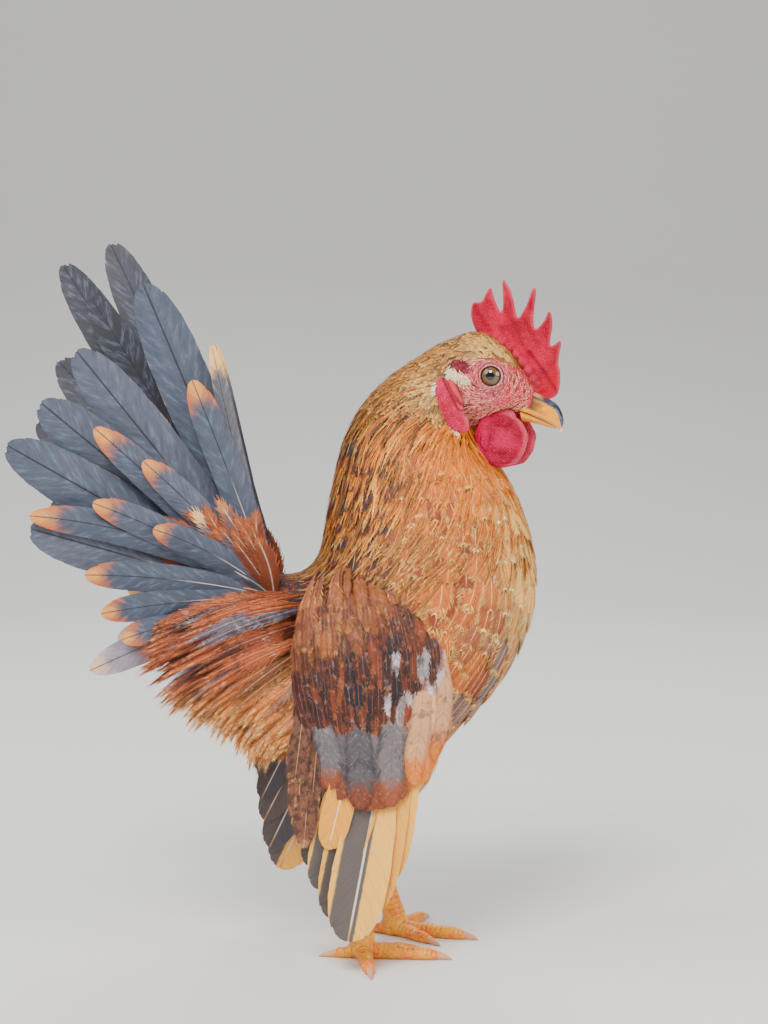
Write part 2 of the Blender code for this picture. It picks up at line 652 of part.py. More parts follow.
def make_wing(side, neighbours):
    rings = []
    for height, rear, front, middle, half in WING_PAD:
        ring = []
        for k in range(14):
            a = math.tau * k / 14
            across = math.cos(a)
            x = (rear + front) / 2 + (front - rear) / 2 * across
            y = middle + half * math.sin(a) - WING_WRAP * across * across
            ring.append(swung(Vector((x, side * y, height)), side))
        rings.append(ring)
    pieces = [loft("wing", rings)]
    for k, (tip_x, tip_z, root_x, half) in enumerate(FLIGHTS):
        root = Vector((root_x, side * FLIGHT_Y[0], FLIGHT_ROOT_Z))
        tip = Vector((tip_x, side * FLIGHT_Y[1], tip_z))
        run = tip - root
        across = Vector((-run.z, 0, run.x)).normalized()
        across = across * math.cos(FLIGHT_TWIST) + Vector((0, side * math.sin(FLIGHT_TWIST), 0))

        def path(s, root=root, run=run):
            bulge = 2.0 * math.sin(math.pi * s)
            return swung(root + run * s + Vector((0, side * bulge, 0)), side)

        turn = Matrix.Rotation(WING_SWING[side], 3, "Y")
        pieces.append(vane(path, (turn @ across) * side, ROUND_TIP, half))
    for tier, (root_z, tip_z, count, half, lift, span) in enumerate(COVERT_TIERS):
        for k in range(count):
            across_at = span * (2 * k / (count - 1) - 1)
            low = tip_z + COVERT_RISE * across_at * across_at

            def path(s, at=across_at, root_z=root_z, tip_z=low, lift=lift + LAYER * (k % 2)):
                height = root_z + (tip_z - root_z) * s
                return on_wing(side, at * (1 - 0.06 * s), height, lift - 3.6 * (1 - min(s / 0.5, 1.0)))

            way = on_wing(side, across_at + 0.05, root_z, 0) - on_wing(side, across_at - 0.05, root_z, 0)
            pieces.append(vane(path, way.normalized() * side, SHORT_TIP, half))
    return cut_clear(apply_boolean(pieces[0], "UNION", pieces[1:]), neighbours)


def toe_pieces(side, foot):
    """The four toes, each with raised scutes along its top."""
    pieces, ends = [], []
    start = Vector(foot["foot"])
    start.z = 0
    for name, turn, length, radius in TOES:
        heading = math.radians(foot["heading"] + side * turn)
        ahead = Vector((math.cos(heading), math.sin(heading), 0))
        scutes = max(int(length / 4.2), 2)
        path, radii = [], []
        for k in range(scutes * 2 + 1):
            share = k / (scutes * 2)
            knuckle = 0.12 * abs(math.sin(3 * math.pi * share))
            size = radius * (1 - 0.34 * share + knuckle) * (1.06 if k % 2 else 0.95)
            path.append(start + ahead * (1.5 + (length - 1.5) * share) + Vector((0, 0, size * 0.8)))
            radii.append(size)
        pieces.append(tube("toe_" + name, path, radii, sides=6, flat=0.92))
        ends.append((name, path[-1], ahead, radii[-1]))
    return pieces, ends


def make_leg(side, torso_core):
    foot = FEET[side]
    hip, hock, ankle = (Vector(foot[key]) for key in ("hip", "hock", "foot"))
    knee = hip + (hock - hip) * 0.42 + Vector((2.5, 0, 0))
    thigh = tube(
        "leg",
        [hip, knee, hip.lerp(hock, 0.76), hock + Vector((0.6, 0, 3.0)), hock, hock - Vector((0, 0, 3.6))],
        [
            THIGH_RADIUS * 0.9, THIGH_RADIUS, THIGH_RADIUS * 0.66, HOCK_RADIUS * 1.12, HOCK_RADIUS,
            SHANK_RADIUS,
        ],
    )
    scutes = 6
    path, radii = [], []
    for k in range(scutes * 2 + 1):
        share = k / (scutes * 2)
        path.append(hock + (ankle - hock) * share)
        swell = 1 + 0.28 * abs(2 * share - 1) ** 3
        radii.append(SHANK_RADIUS * swell * (1.05 if k % 2 else 0.97))
    shank = tube("shank", path, radii, sides=8)
    pad = ellipsoid("pad", Vector((ankle.x, ankle.y, 3.6)), (5.0, 4.8, 4.8), segments=10, rings=6)
    inward = -side
    spur = tube(
        "spur",
        [hock + (ankle - hock) * 0.68 + Vector((-1.2 * n, inward * (1.0 + 1.6 * n), 0)) for n in range(3)],
        [1.5, 1.1, 0.4],
        sides=6,
    )
    toes, ends = toe_pieces(side, foot)
    leg = apply_boolean(thigh, "UNION", [shank, pad, spur, *toes])
    floor = box("floor", (-120, -120, -30), (120, 120, 0))
    leg = apply_boolean(leg, "DIFFERENCE", [floor, swollen(torso_core)])
    return leg, ends


def make_claw(name, end, ahead, radius):
    """A curved claw that starts one gap beyond its toe and bends down to the floor."""
    path, radii = [], []
    for k in range(4):
        share = k / 3
        reach = GAP + CLAW_LENGTH * share
        base = radius * 0.72
        size = base * (1 - share) ** 0.7 + 0.28
        height = max(end.z * (1 - share**2) + 0.1, size * 1.02 + 0.05)
        path.append(Vector((end.x, end.y, 0)) + ahead * reach + Vector((0, 0, height)))
        radii.append(size)
    return tube(name, path, radii, sides=7)


def middle_of_bird():
    """The middle of the whole bird on the floor."""
    points = [corner for piece in stand.children for corner in piece.bound_box]
    return Vector([(min(p[i] for p in points) + max(p[i] for p in points)) / 2 for i in range(2)] + [0.0])


clear_scene()
bird = bpy.data.collections.new("serama_cockerel")
bpy.context.scene.collection.children.link(bird)
stand = bpy.data.objects.new("bird_frame", None)
bird.objects.link(stand)

torso = body_stretch("torso", TORSO_START, NECK_START, 12)
rump_core = body_stretch("rump_core", RUMP_START, TORSO_START, 3)
neck_core = body_stretch("neck_core", NECK_START, HEAD_START, 6)
head_core = body_stretch("head_core", HEAD_START, FACE_END, 12)
beak_upper, beak_lower = make_beak(head_core)
tails, saddles, wings, wattles, earlobes = [], [], [], [], []
for side in (RIGHT, LEFT):
    tails.append(make_tail(side, [rump_core]))
    wings.append(make_wing(side, [torso, rump_core]))
    saddles.append(make_saddle(side, [torso, tails[-1], wings[-1]]))
    wattles.append(make_wattle(side, [head_core, beak_lower]))
    earlobes.append(make_earlobe(side, [head_core, neck_core]))

finish(make_neck([torso, *wings, *wattles, *earlobes]), "neck", (0.52, 0.26, 0.07), 0.65, stand)
finish(make_comb([head_core, beak_upper]), "comb", (0.72, 0.02, 0.03), 0.45, stand)
finish(make_head(), "head", (0.75, 0.2, 0.16), 0.6, stand)
finish(beak_upper, "beak_upper", (0.55, 0.42, 0.22), 0.35, stand)
finish(beak_lower, "beak_lower", (0.75, 0.5, 0.18), 0.4, stand)
for k, (side, word) in enumerate(((RIGHT, "right"), (LEFT, "left"))):
    finish(tails[k], "tail_" + word, (0.1, 0.12, 0.16), 0.55, stand)
    finish(saddles[k], "saddle_" + word, (0.42, 0.13, 0.05), 0.7, stand)
    finish(wings[k], "wing_" + word, (0.3, 0.12, 0.07), 0.6, stand)
    finish(wattles[k], "wattle_" + word, (0.72, 0.02, 0.04), 0.45, stand)
    finish(earlobes[k], "earlobe_" + word, (0.75, 0.1, 0.16), 0.5, stand)
    finish(make_eye(side), "eye_" + word, (0.25, 0.12, 0.04), 0.08, stand)
    leg, toe_ends = make_leg(side, torso)
    finish(leg, "leg_" + word, (0.85, 0.42, 0.08), 0.5, stand)
    for toe, end, ahead, radius in toe_ends:
        claw = make_claw("claw", end, ahead, radius)
        finish(claw, "claw_" + word + "_" + toe, (0.72, 0.55, 0.42), 0.35, stand)
finish(torso, "torso", (0.62, 0.34, 0.15), 0.75, stand)
for helper in (rump_core, neck_core, head_core):
    bpy.data.objects.remove(helper, do_unlink=True)
stand.location = middle_of_bird() * -1
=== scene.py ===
import json
import math
import bpy
import numpy as np
from mathutils import Matrix, Vector

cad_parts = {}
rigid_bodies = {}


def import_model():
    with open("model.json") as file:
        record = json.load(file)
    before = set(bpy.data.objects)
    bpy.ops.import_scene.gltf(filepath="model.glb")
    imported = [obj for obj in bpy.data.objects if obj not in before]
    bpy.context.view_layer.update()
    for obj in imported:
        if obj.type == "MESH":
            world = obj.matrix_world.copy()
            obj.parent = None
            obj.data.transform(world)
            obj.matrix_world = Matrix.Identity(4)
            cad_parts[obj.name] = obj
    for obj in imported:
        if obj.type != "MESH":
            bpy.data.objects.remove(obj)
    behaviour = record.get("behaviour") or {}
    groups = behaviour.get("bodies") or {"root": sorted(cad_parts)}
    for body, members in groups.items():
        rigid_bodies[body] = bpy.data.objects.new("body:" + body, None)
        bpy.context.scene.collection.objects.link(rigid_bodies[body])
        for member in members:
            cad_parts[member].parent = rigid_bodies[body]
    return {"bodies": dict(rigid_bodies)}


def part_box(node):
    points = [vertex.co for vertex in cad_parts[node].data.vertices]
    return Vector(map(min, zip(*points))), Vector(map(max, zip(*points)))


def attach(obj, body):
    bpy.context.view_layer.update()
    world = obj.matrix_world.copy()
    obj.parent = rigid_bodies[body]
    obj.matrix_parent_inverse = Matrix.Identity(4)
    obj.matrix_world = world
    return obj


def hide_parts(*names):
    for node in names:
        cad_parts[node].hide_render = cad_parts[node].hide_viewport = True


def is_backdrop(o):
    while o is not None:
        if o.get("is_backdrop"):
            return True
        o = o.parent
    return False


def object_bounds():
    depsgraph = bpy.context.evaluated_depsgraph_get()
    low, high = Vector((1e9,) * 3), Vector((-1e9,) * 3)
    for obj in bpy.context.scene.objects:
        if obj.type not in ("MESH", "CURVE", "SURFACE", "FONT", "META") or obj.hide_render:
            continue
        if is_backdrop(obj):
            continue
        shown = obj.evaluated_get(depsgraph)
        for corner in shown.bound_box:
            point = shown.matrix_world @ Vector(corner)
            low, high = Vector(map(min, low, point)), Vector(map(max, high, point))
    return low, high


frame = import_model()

# A life-size serama cockerel. Sizes are in millimetres in the bird's own frame,
# with +X forward, +Y to its left and +Z up
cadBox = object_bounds()
mm = 0.001
right, left = -1, 1
sides = ((right, "Right"), (left, "Left"))
bodyName = next(iter(frame["bodies"]))
eyeInBird = (32.352, -13.132, 207.5)  # the middle of the right eye in the bird's frame
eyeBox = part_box("eye_right")
shift = np.array([(eyeBox[0][i] + eyeBox[1][i]) / 2 / mm - eyeInBird[i] for i in range(3)])

# ---- the body's sections: back x, back z, belly x, belly z, half width
spine = np.array([
    (-55.0, 131.0, -58.0, 119.0, 4.0), (-47.6, 134.0, -54.2, 112.2, 8.0), (-42.6, 135.1, -50.0, 90.3, 15.0),
    (-37.5, 135.8, -36.3, 66.5, 24.0), (-34.3, 136.9, -10.8, 57.3, 31.0), (-31.7, 139.0, 14.6, 73.8, 35.0),
    (-29.6, 141.9, 36.2, 97.6, 37.0), (-27.7, 146.6, 47.0, 119.4, 36.5), (-26.7, 152.8, 48.7, 137.6, 34.0),
    (-25.2, 161.1, 45.0, 155.7, 30.0), (-23.0, 171.9, 39.6, 168.3, 25.5), (-19.8, 184.5, 34.5, 176.6, 21.0),
    (-13.7, 196.0, 30.4, 181.8, 17.5), (-5.4, 205.3, 28.0, 185.8, 14.8), (4.3, 212.4, 27.4, 188.4, 13.2),
    (14.3, 218.5, 28.6, 190.0, 12.4), (19.7, 221.0, 30.0, 190.4, 12.2), (25.0, 222.8, 31.8, 191.3, 12.0),
    (30.4, 222.4, 34.1, 192.7, 11.5), (35.0, 219.9, 37.3, 194.0, 10.6), (39.4, 216.0, 40.2, 194.4, 9.2),
    (43.0, 211.4, 42.7, 194.0, 7.6), (46.0, 206.3, 44.6, 193.2, 5.9), (48.0, 203.0, 46.0, 192.9, 4.9),
])
bellyShare = 0.1
headTurn = math.radians(-13)
turnFrom, turnTo, turnAxisX = 8.5, 13.0, 12.0


def smoothStep(x):
    x = np.clip(x, 0.0, 1.0)
    return x * x * (3 - 2 * x)


def ramp(x, low, high):
    return smoothStep((np.asarray(x, float) - low) / (high - low))


def unit(v):
    return v / np.maximum(np.linalg.norm(v, axis=-1, keepdims=True), 1e-9)


def blend(first, second, share):
    first, second = np.atleast_2d(first), np.atleast_2d(second)
    return first + (second - first) * np.asarray(share)[..., None]


def between(rows, at):
    # a smooth curve through rows of numbers, at places counted in rows
    at = np.asarray(at, float)
    i = np.clip(np.floor(at).astype(int), 0, len(rows) - 2)
    f = (at - i)[..., None]
    a, b, c, d = (rows[np.clip(i + k, 0, len(rows) - 1)] for k in (-1, 0, 1, 2))
    return 0.5 * (2 * b + (c - a) * f + (2 * a - 5 * b + 4 * c - d) * f**2 + (3 * b - a - 3 * c + d) * f**3)


def smoothRows(rows, count):
    return between(np.array(rows, float), np.linspace(0, len(rows) - 1, count))


def turned(point, share):
    # the head's turn to the right, which leaves the profile in side view
    turn = headTurn * np.asarray(share, float)
    cos, sin = np.cos(turn), np.sin(turn)
    x, y = (point[..., 0] - turnAxisX) / cos, point[..., 1]
    return np.stack([turnAxisX + x * cos - y * sin, x * sin + y * cos, point[..., 2]], -1)


def onBody(place, angle, lift=0.0):
    # a point over the body: angle 0 is the middle of the back, a right angle the left side
    place, angle, lift = np.broadcast_arrays(np.asarray(place, float), np.asarray(angle, float), lift)
    backX, backZ, bellyX, bellyZ, half = np.moveaxis(between(spine, place), -1, 0)
    zero = np.zeros_like(half)
    middle = np.stack([(backX + bellyX) / 2, zero, (backZ + bellyZ) / 2], -1)
    up = np.stack([(backX - bellyX) / 2, zero, (backZ - bellyZ) / 2], -1)
    cos, sin = np.cos(angle), np.sin(angle)
    width = half * (1 - bellyShare * cos)
    point = middle + up * cos[..., None] + np.stack([zero, width * sin, zero], -1)
    length = np.linalg.norm(up, axis=-1)
    out = up / length[..., None] * (cos / length)[..., None] + np.stack([zero, sin / half, zero], -1)
    share = smoothStep((place - turnFrom) / (turnTo - turnFrom))
    return turned(point + unit(out) * lift[..., None], share)


def bodyOut(place, angle):
    # the way out of the body's surface
    e = 0.02
    along = onBody(place - e, angle) - onBody(place + e, angle)
    around = onBody(place, angle + e) - onBody(place, angle - e)
    return unit(np.cross(around, along))


def onHead(x, y, z):
    return turned(np.stack(np.broadcast_arrays(np.asarray(x, float), y, z), -1), 1.0)


# ---- paint: sums on sockets, and one method for every other node
def tone(r, g, b):
    # a colour as seen on a screen, 0 to 255; bright ones are made richer because the picture softens them
    line = [((c / 255 + 0.055) / 1.055) ** 2.4 if c > 10 else c / 255 / 12.92 for c in (r, g, b)]
    grey = 0.3 * line[0] + 0.6 * line[1] + 0.1 * line[2]
    return tuple(min(max(grey + (c - grey) * (1.0 + 0.5 * grey), 0.002), 0.97) ** 1.15 for c in line)


class Wire:
    def __init__(self, paint, socket):
        self.paint, self.socket = paint, socket

    def join(self, operation, first, second):
        return self.paint.node("ShaderNodeMath", {"operation": operation}, {0: first, 1: second})

    def __add__(self, other):
        return self.join("ADD", self, other)

    def __radd__(self, other):
        return self.join("ADD", other, self)

    def __sub__(self, other):
        return self.join("SUBTRACT", self, other)

    def __rsub__(self, other):
        return self.join("SUBTRACT", other, self)

    def __mul__(self, other):
        return self.join("MULTIPLY", self, other)

    def __rmul__(self, other):
        return self.join("MULTIPLY", other, self)

    def __abs__(self):
        return self.paint.node("ShaderNodeMath", {"operation": "ABSOLUTE"}, {0: self})


class Paint:
    def __init__(self, name, **fixed):
        self.material = bpy.data.materials.new(name)
        self.material.use_nodes = True
        self.tree = self.material.node_tree
        self.shader = self.tree.nodes["Principled BSDF"]
        for key, value in fixed.items():
            self.shader.inputs[key.replace("_", " ")].default_value = value

    def feed(self, socket, value):
        if isinstance(value, Wire):
            self.tree.links.new(value.socket, socket)
        elif isinstance(value, (tuple, list)) and len(value) == 3 and socket.type == "RGBA":
            socket.default_value = (*value, 1.0)
        else:
            socket.default_value = value

    def node(self, kind, settings=None, inputs=None, out=0):
        made = self.tree.nodes.new(kind)
        for key, value in (settings or {}).items():
            setattr(made, key, value)
        for key, value in (inputs or {}).items():
            self.feed(made.inputs[key], value)
        return Wire(self, made.outputs[out])

    def mix(self, share, first, second, blend="MIX"):
        made = {"data_type": "RGBA", "blend_type": blend, "clamp_factor": True}
        return self.node("ShaderNodeMix", made, {0: share, 6: first, 7: second}, 2)

    def shaded(self, colour, light):
        grey = self.node("ShaderNodeCombineColor", None, {0: light, 1: light, 2: light})
        return self.mix(1.0, colour, grey, "MULTIPLY")

    def step(self, value, low, high):
        # 0 below low, 1 above high, smooth between
        kind = {"interpolation_type": "SMOOTHSTEP"}
        return self.node("ShaderNodeMapRange", kind, {"Value": value, "From Min": low, "From Max": high})

    def attribute(self, name, out=2):
        return self.node("ShaderNodeAttribute", {"attribute_name": name}, None, out)

    def objectPlace(self):
        return self.node("ShaderNodeTexCoord", None, None, 3)

    def uv(self, name):
        return self.node("ShaderNodeUVMap", {"uv_map": name})

    def stretched(self, vector, scale):
        return self.node("ShaderNodeMapping", None, {"Vector": vector, "Scale": scale})

    def vector(self, x, y, z=0.0):
        return self.node("ShaderNodeCombineXYZ", None, {0: x, 1: y, 2: z})

    def larger(self, first, second):
        return self.node("ShaderNodeMath", {"operation": "MAXIMUM"}, {0: first, 1: second})

    def axis(self, vector, k):
        return self.node("ShaderNodeSeparateXYZ", None, {0: vector}, k)

    def noise(self, vector, scale, detail=3.0, rough=0.5):
        inputs = {"Vector": vector, "Scale": scale, "Detail": detail, "Roughness": rough}
        return self.node("ShaderNodeTexNoise", None, inputs)

    def cells(self, vector, scale):
        return self.node("ShaderNodeTexVoronoi", None, {"Vector": vector, "Scale": scale})

    def bump(self, height, distance, strength):
        inputs = {"Height": height, "Distance": distance, "Strength": strength}
        made = self.node("ShaderNodeBump", None, inputs)
        self.feed(self.shader.inputs["Normal"], made)

    def colour(self, value):
        self.feed(self.shader.inputs["Base Color"], value)

    def rough(self, value):
        self.feed(self.shader.inputs["Roughness"], value)


# ---- meshes from arrays
def meshFrom(name, points, groups, paint):
    # each group is an array of quads or of triangles
    mesh = bpy.data.meshes.new(name)
    mesh.vertices.add(len(points))
    mesh.vertices.foreach_set("co", ((points + shift) * mm).astype(np.float32).ravel())
    sizes = np.concatenate([np.full(len(g), g.shape[1]) for g in groups])
    corners = np.concatenate([g.ravel() for g in groups])
    mesh.loops.add(len(corners))
    mesh.loops.foreach_set("vertex_index", corners.astype(np.int32))
    mesh.polygons.add(len(sizes))
    starts = np.concatenate([[0], np.cumsum(sizes)[:-1]])
    mesh.polygons.foreach_set("loop_start", starts.astype(np.int32))
    mesh.polygons.foreach_set("use_smooth", np.full(len(sizes), True))
    mesh.update(calc_edges=True)
    mesh.validate()
    obj = bpy.data.objects.new(name, mesh)
    bpy.context.scene.collection.objects.link(obj)
    mesh.materials.append(paint.material)
    return obj


def giveUv(obj, name, perVertex):
    corners = np.empty(len(obj.data.loops), np.int32)
    obj.data.loops.foreach_get("vertex_index", corners)
    layer = obj.data.uv_layers.new(name=name)
    layer.data.foreach_set("uv", perVertex[corners].astype(np.float32).ravel())


def giveColour(obj, name, perVertex):
    layer = obj.data.color_attributes.new(name, "FLOAT_COLOR", "POINT")
    full = np.concatenate([perVertex, np.ones((len(perVertex), 1))], 1)
    layer.data.foreach_set("color", full.astype(np.float32).ravel())


def giveValue(obj, name, perVertex):
    layer = obj.data.attributes.new(name, "FLOAT", "POINT")
    layer.data.foreach_set("value", perVertex.astype(np.float32))


def closedTube(points, base=0):
    # rings of points with a fan of triangles over each end; faces count from base
    rows, around = points.shape[:2]
    r, c = (grid.ravel() for grid in np.meshgrid(np.arange(rows - 1), np.arange(around), indexing="ij"))
    d = (c + 1) % around
    quads = np.stack([r * around + c, r * around + d, (r + 1) * around + d, (r + 1) * around + c], 1)
    k, first, end = np.arange(around), rows * around, (rows - 1) * around
    after = (k + 1) % around
    caps = np.concatenate([
        np.stack([np.full(around, first), after, k], 1),
        np.stack([np.full(around, first + 1), end + k, end + after], 1),
    ])
    ends = np.stack([points[0].mean(0), points[-1].mean(0)])
    return np.concatenate([points.reshape(-1, 3), ends]), [base + quads, base + caps]


def useTools(obj):
    bpy.ops.object.select_all(action="DESELECT")
    obj.select_set(True)
    bpy.context.view_layer.objects.active = obj


def facesOut(obj):
    useTools(obj)
    bpy.ops.object.mode_set(mode="EDIT")
    bpy.ops.mesh.select_all(action="SELECT")
    bpy.ops.mesh.normals_make_consistent(inside=False)
    bpy.ops.object.mode_set(mode="OBJECT")
    return obj


def spotsOf(obj):
    return np.array([v.co[:] for v in obj.data.vertices]) / mm


def moveTo(obj, spots):
    obj.data.vertices.foreach_set("co", (spots * mm).astype(np.float32).ravel())


def pieceDone(obj, *nodes, slot):
    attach(obj, bodyName)
    if nodes:
        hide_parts(*nodes)


# ---- feathers: a flat pattern of barbs laid along a path
def shareAt(outline, s):
    return np.interp(s, [p for p, _ in outline], [w for _, w in outline])


leafShape = [(0, 0.35), (0.2, 0.72), (0.5, 1.0), (0.78, 0.9), (0.93, 0.6), (1.0, 0.18)]
roundShape = [(0, 0.3), (0.2, 0.62), (0.5, 0.92), (0.75, 1.0), (0.9, 0.84), (0.97, 0.55), (1.0, 0.2)]
lanceShape = [(0, 0.45), (0.2, 0.8), (0.4, 1.0), (0.62, 0.86), (0.85, 0.48), (1.0, 0.06)]


def edgeMeets(outline, start, slant):
    # where a row that slants forward from the shaft meets the feather's edge
    low, high = start, 1.0
    for _ in range(12):
        middle = (low + high) / 2
        if middle < start + slant * shareAt(outline, middle) * 0.5:
            low = middle
        else:
            high = middle
    return (low + high) / 2


def vanePattern(
    outline, seed, rows, columns, slant, camber=0.16, fringe=0, reach=0.2, ragged=0.03, shaft=0.0, splits=0,
    hair=0.5, parts=2,
):
    # a vane of slanted rows, with fringe fine barbs round each side's edge
    # s runs along the shaft from root to tip, c across it from -1 to 1, h stands above it
    draw = np.random.default_rng(seed)
    s, c, h, quads = [], [], [], []
    inner = 1.0 - (reach * 0.8 if fringe else 0.0)
    for side in (-1, 1):
        cuts = draw.choice(np.arange(rows // 4, rows - 3), splits, replace=False) if splits else []
        slip = 0.0
        base = len(s)
        for k in range(rows):
            start = 1 - (1 - k / (rows - 1)) ** 1.25
            tip = edgeMeets(outline, start, slant)
            edge = shareAt(outline, tip) * (1 + draw.normal(0, ragged)) * inner
            slip = 0.55 / rows if k in cuts else slip * 0.6
            for j in range(columns):
                t = j / (columns - 1)
                s.append(start + (tip - start) * t**1.25 - slip * t)
                c.append(side * edge * t)
                h.append(-camber * (edge * t) ** 2 + (0.03 if k in cuts else 0.0) * t)
        for k in range(rows - 1):
            for j in range(columns - 1):
                a = base + k * columns + j
                quad = [a, a + 1, a + columns + 1, a + columns]
                quads.append(quad[::-1] if side > 0 else quad)
        for k in range(fringe):
            start = 0.03 + 0.94 * (k + draw.uniform(-0.3, 0.3)) / (fringe - 1)
            tip = edgeMeets(outline, start, slant)
            edge = shareAt(outline, tip)
            rootAt, rootOut = start + (tip - start) * 0.55, edge * (1 - 1.8 * reach)
            tipAt = tip + 0.02 + 0.03 * draw.random() + 0.03 * max(start - 0.8, 0) * 5
            tipOut = edge * (1 + reach * draw.uniform(-0.35, 0.45))
            a = len(s)
            for m in range(parts + 1):
                t = m / parts
                half = hair / fringe * (1 - 0.8 * t**1.5)
                for end in (-1, 1):
                    s.append(min(rootAt + (tipAt - rootAt) * t + end * half, 1.07))
                    c.append(side * (rootOut + (tipOut - rootOut) * t))
                    h.append(-camber * c[-1] ** 2 + 0.012 + 0.014 * (k % 3))
            for q in range(0, 2 * parts, 2):
                quad = [a + q, a + q + 1, a + q + 3, a + q + 2]
                quads.append(quad if side < 0 else quad[::-1])
    if shaft:
        base = len(s)
        count = 10
        for k in range(count):
            at = k / (count - 1) * 0.97
            thick = shaft * (1 - 0.85 * at)
            for out, up in ((-thick, 0.0), (0.0, thick * 1.1), (thick, 0.0)):
                s.append(at)
                c.append(out)
                h.append(up + 0.01)
        for k in range(count - 1):
            for j in (0, 1):
                a = base + k * 3 + j
                quads.append([a, a + 1, a + 4, a + 3])
    s, c, quads = np.array(s), np.array(c), np.array(quads)
    ahead, over = s[quads[:, 2]] - s[quads[:, 0]], s[quads[:, 3]] - s[quads[:, 1]]
    area = np.abs(ahead * (c[quads[:, 3]] - c[quads[:, 1]]) - over * (c[quads[:, 2]] - c[quads[:, 0]]))
    return {"s": s, "c": c, "h": np.array(h), "faces": quads[area > 0.0001]}


def layFeathers(name, paint, paths, outs, widths, patterns, colours, roots, luck):
    # paths and outs are (feathers, samples, 3); colours holds the centre and the rim of each feather
    count, samples = paths.shape[:2]
    along = unit(np.gradient(paths, axis=1))
    across = unit(np.cross(outs, along))
    lifts = unit(np.cross(along, across))
    lengths = np.linalg.norm(np.diff(paths, axis=1), axis=2).sum(1)
    points, faces, vane, barb, patch, which = [], [], [], [], [], []
    base = 0
    for n, pattern in enumerate(patterns):
        mine = np.arange(count)[np.arange(count) % len(patterns) == n]
        s, c, h = pattern["s"], pattern["c"], pattern["h"]
        at = np.clip(s, 0, 1) * (samples - 1)
        i = np.minimum(at.astype(int), samples - 2)
        f = (at - i)[None, :, None]

        def sample(rows):
            return rows[mine][:, i] * (1 - f) + rows[mine][:, i + 1] * f

        wide = widths[mine][:, None, None]
        beyond = (np.maximum(s - 1, 0)[None, :] * lengths[mine][:, None])[..., None]
        spot = sample(paths) + sample(across) * c[None, :, None] * wide
        spot = spot + sample(lifts) * h[None, :, None] * wide + along[mine][:, -1:] * beyond
        points.append(spot.reshape(-1, 3))
        firsts = (base + np.arange(len(mine)) * len(s))[:, None, None]
        faces.append((pattern["faces"][None] + firsts).reshape(-1, 4))
        base += len(mine) * len(s)
        vane.append(np.tile(np.stack([c * 0.5 + 0.5, s], -1), (len(mine), 1)))
        size = np.stack([np.abs(c)[None] * widths[mine][:, None], s[None] * lengths[mine][:, None]], -1)
        barb.append(size.reshape(-1, 2) / 10)
        cell = np.stack([c * 0.0015, (s - 0.5) * 0.003], -1)
        patch.append((roots[mine][:, None] + cell[None]).reshape(-1, 2))
        which.append(np.repeat(mine, len(s)))
    which = np.concatenate(which)
    obj = meshFrom(name, np.concatenate(points), [np.concatenate(faces)], paint)
    giveUv(obj, "vane", np.concatenate(vane))
    giveUv(obj, "barb", np.concatenate(barb))
    giveUv(obj, "OFBake", np.concatenate(patch))
    for key, rows in zip(("centre", "rim"), colours):
        giveColour(obj, key, rows[which])
    giveValue(obj, "luck", luck[which])
    return obj


def bodyPatch(place, angle):
    # a root's place on the unwrap of the body's skin
    return np.stack([0.02 + 0.56 * (angle / math.tau % 1.0), 0.02 + 0.96 * np.asarray(place) / 23.5], -1)


def placeStep(place, angle, length):
    # how far along the spine a feather of this length reaches
    e = 0.05
    speed = np.linalg.norm(onBody(place, angle) - onBody(place - e, angle), axis=-1) / e
    ahead = place - length / speed * 0.5
    speed = np.linalg.norm(onBody(ahead, angle) - onBody(ahead - e, angle), axis=-1) / e
    return length / speed


def bodyFeathers(
    name, paint, place, angle, length, width, patterns, colours, draw, low, high, drift=0.0, stray=0.06,
):
    # lays feathers along the body from their roots, each from under its neighbours to over them
    samples = 9
    s = np.linspace(0, 1, samples)[None]
    count = len(place)
    reach = placeStep(place, angle, length)
    turn = draw.normal(0, stray, count) + drift
    places = place[:, None] - reach[:, None] * s
    angles = angle[:, None] + turn[:, None] * s
    lifts = low + (high - low) * s**0.7 + draw.normal(0, 0.12, count)[:, None] * s
    paths = onBody(np.maximum(places, 0.02), angles, lifts)
    outs = bodyOut(np.maximum(places, 0.05), angles)
    luck = draw.random(count)
    return layFeathers(name, paint, paths, outs, width, patterns, colours, bodyPatch(place, angle), luck)


def vaneOf(paint, lean):
    # the signed and the plain place across the vane, the place along it, and the barbs' own across and slant
    vane, barb = paint.uv("vane"), paint.uv("barb")
    signed = paint.axis(vane, 0) * 2.0 - 1.0
    across = paint.axis(barb, 0)
    return signed, abs(signed), paint.axis(vane, 1), across, paint.axis(barb, 1) - across * lean


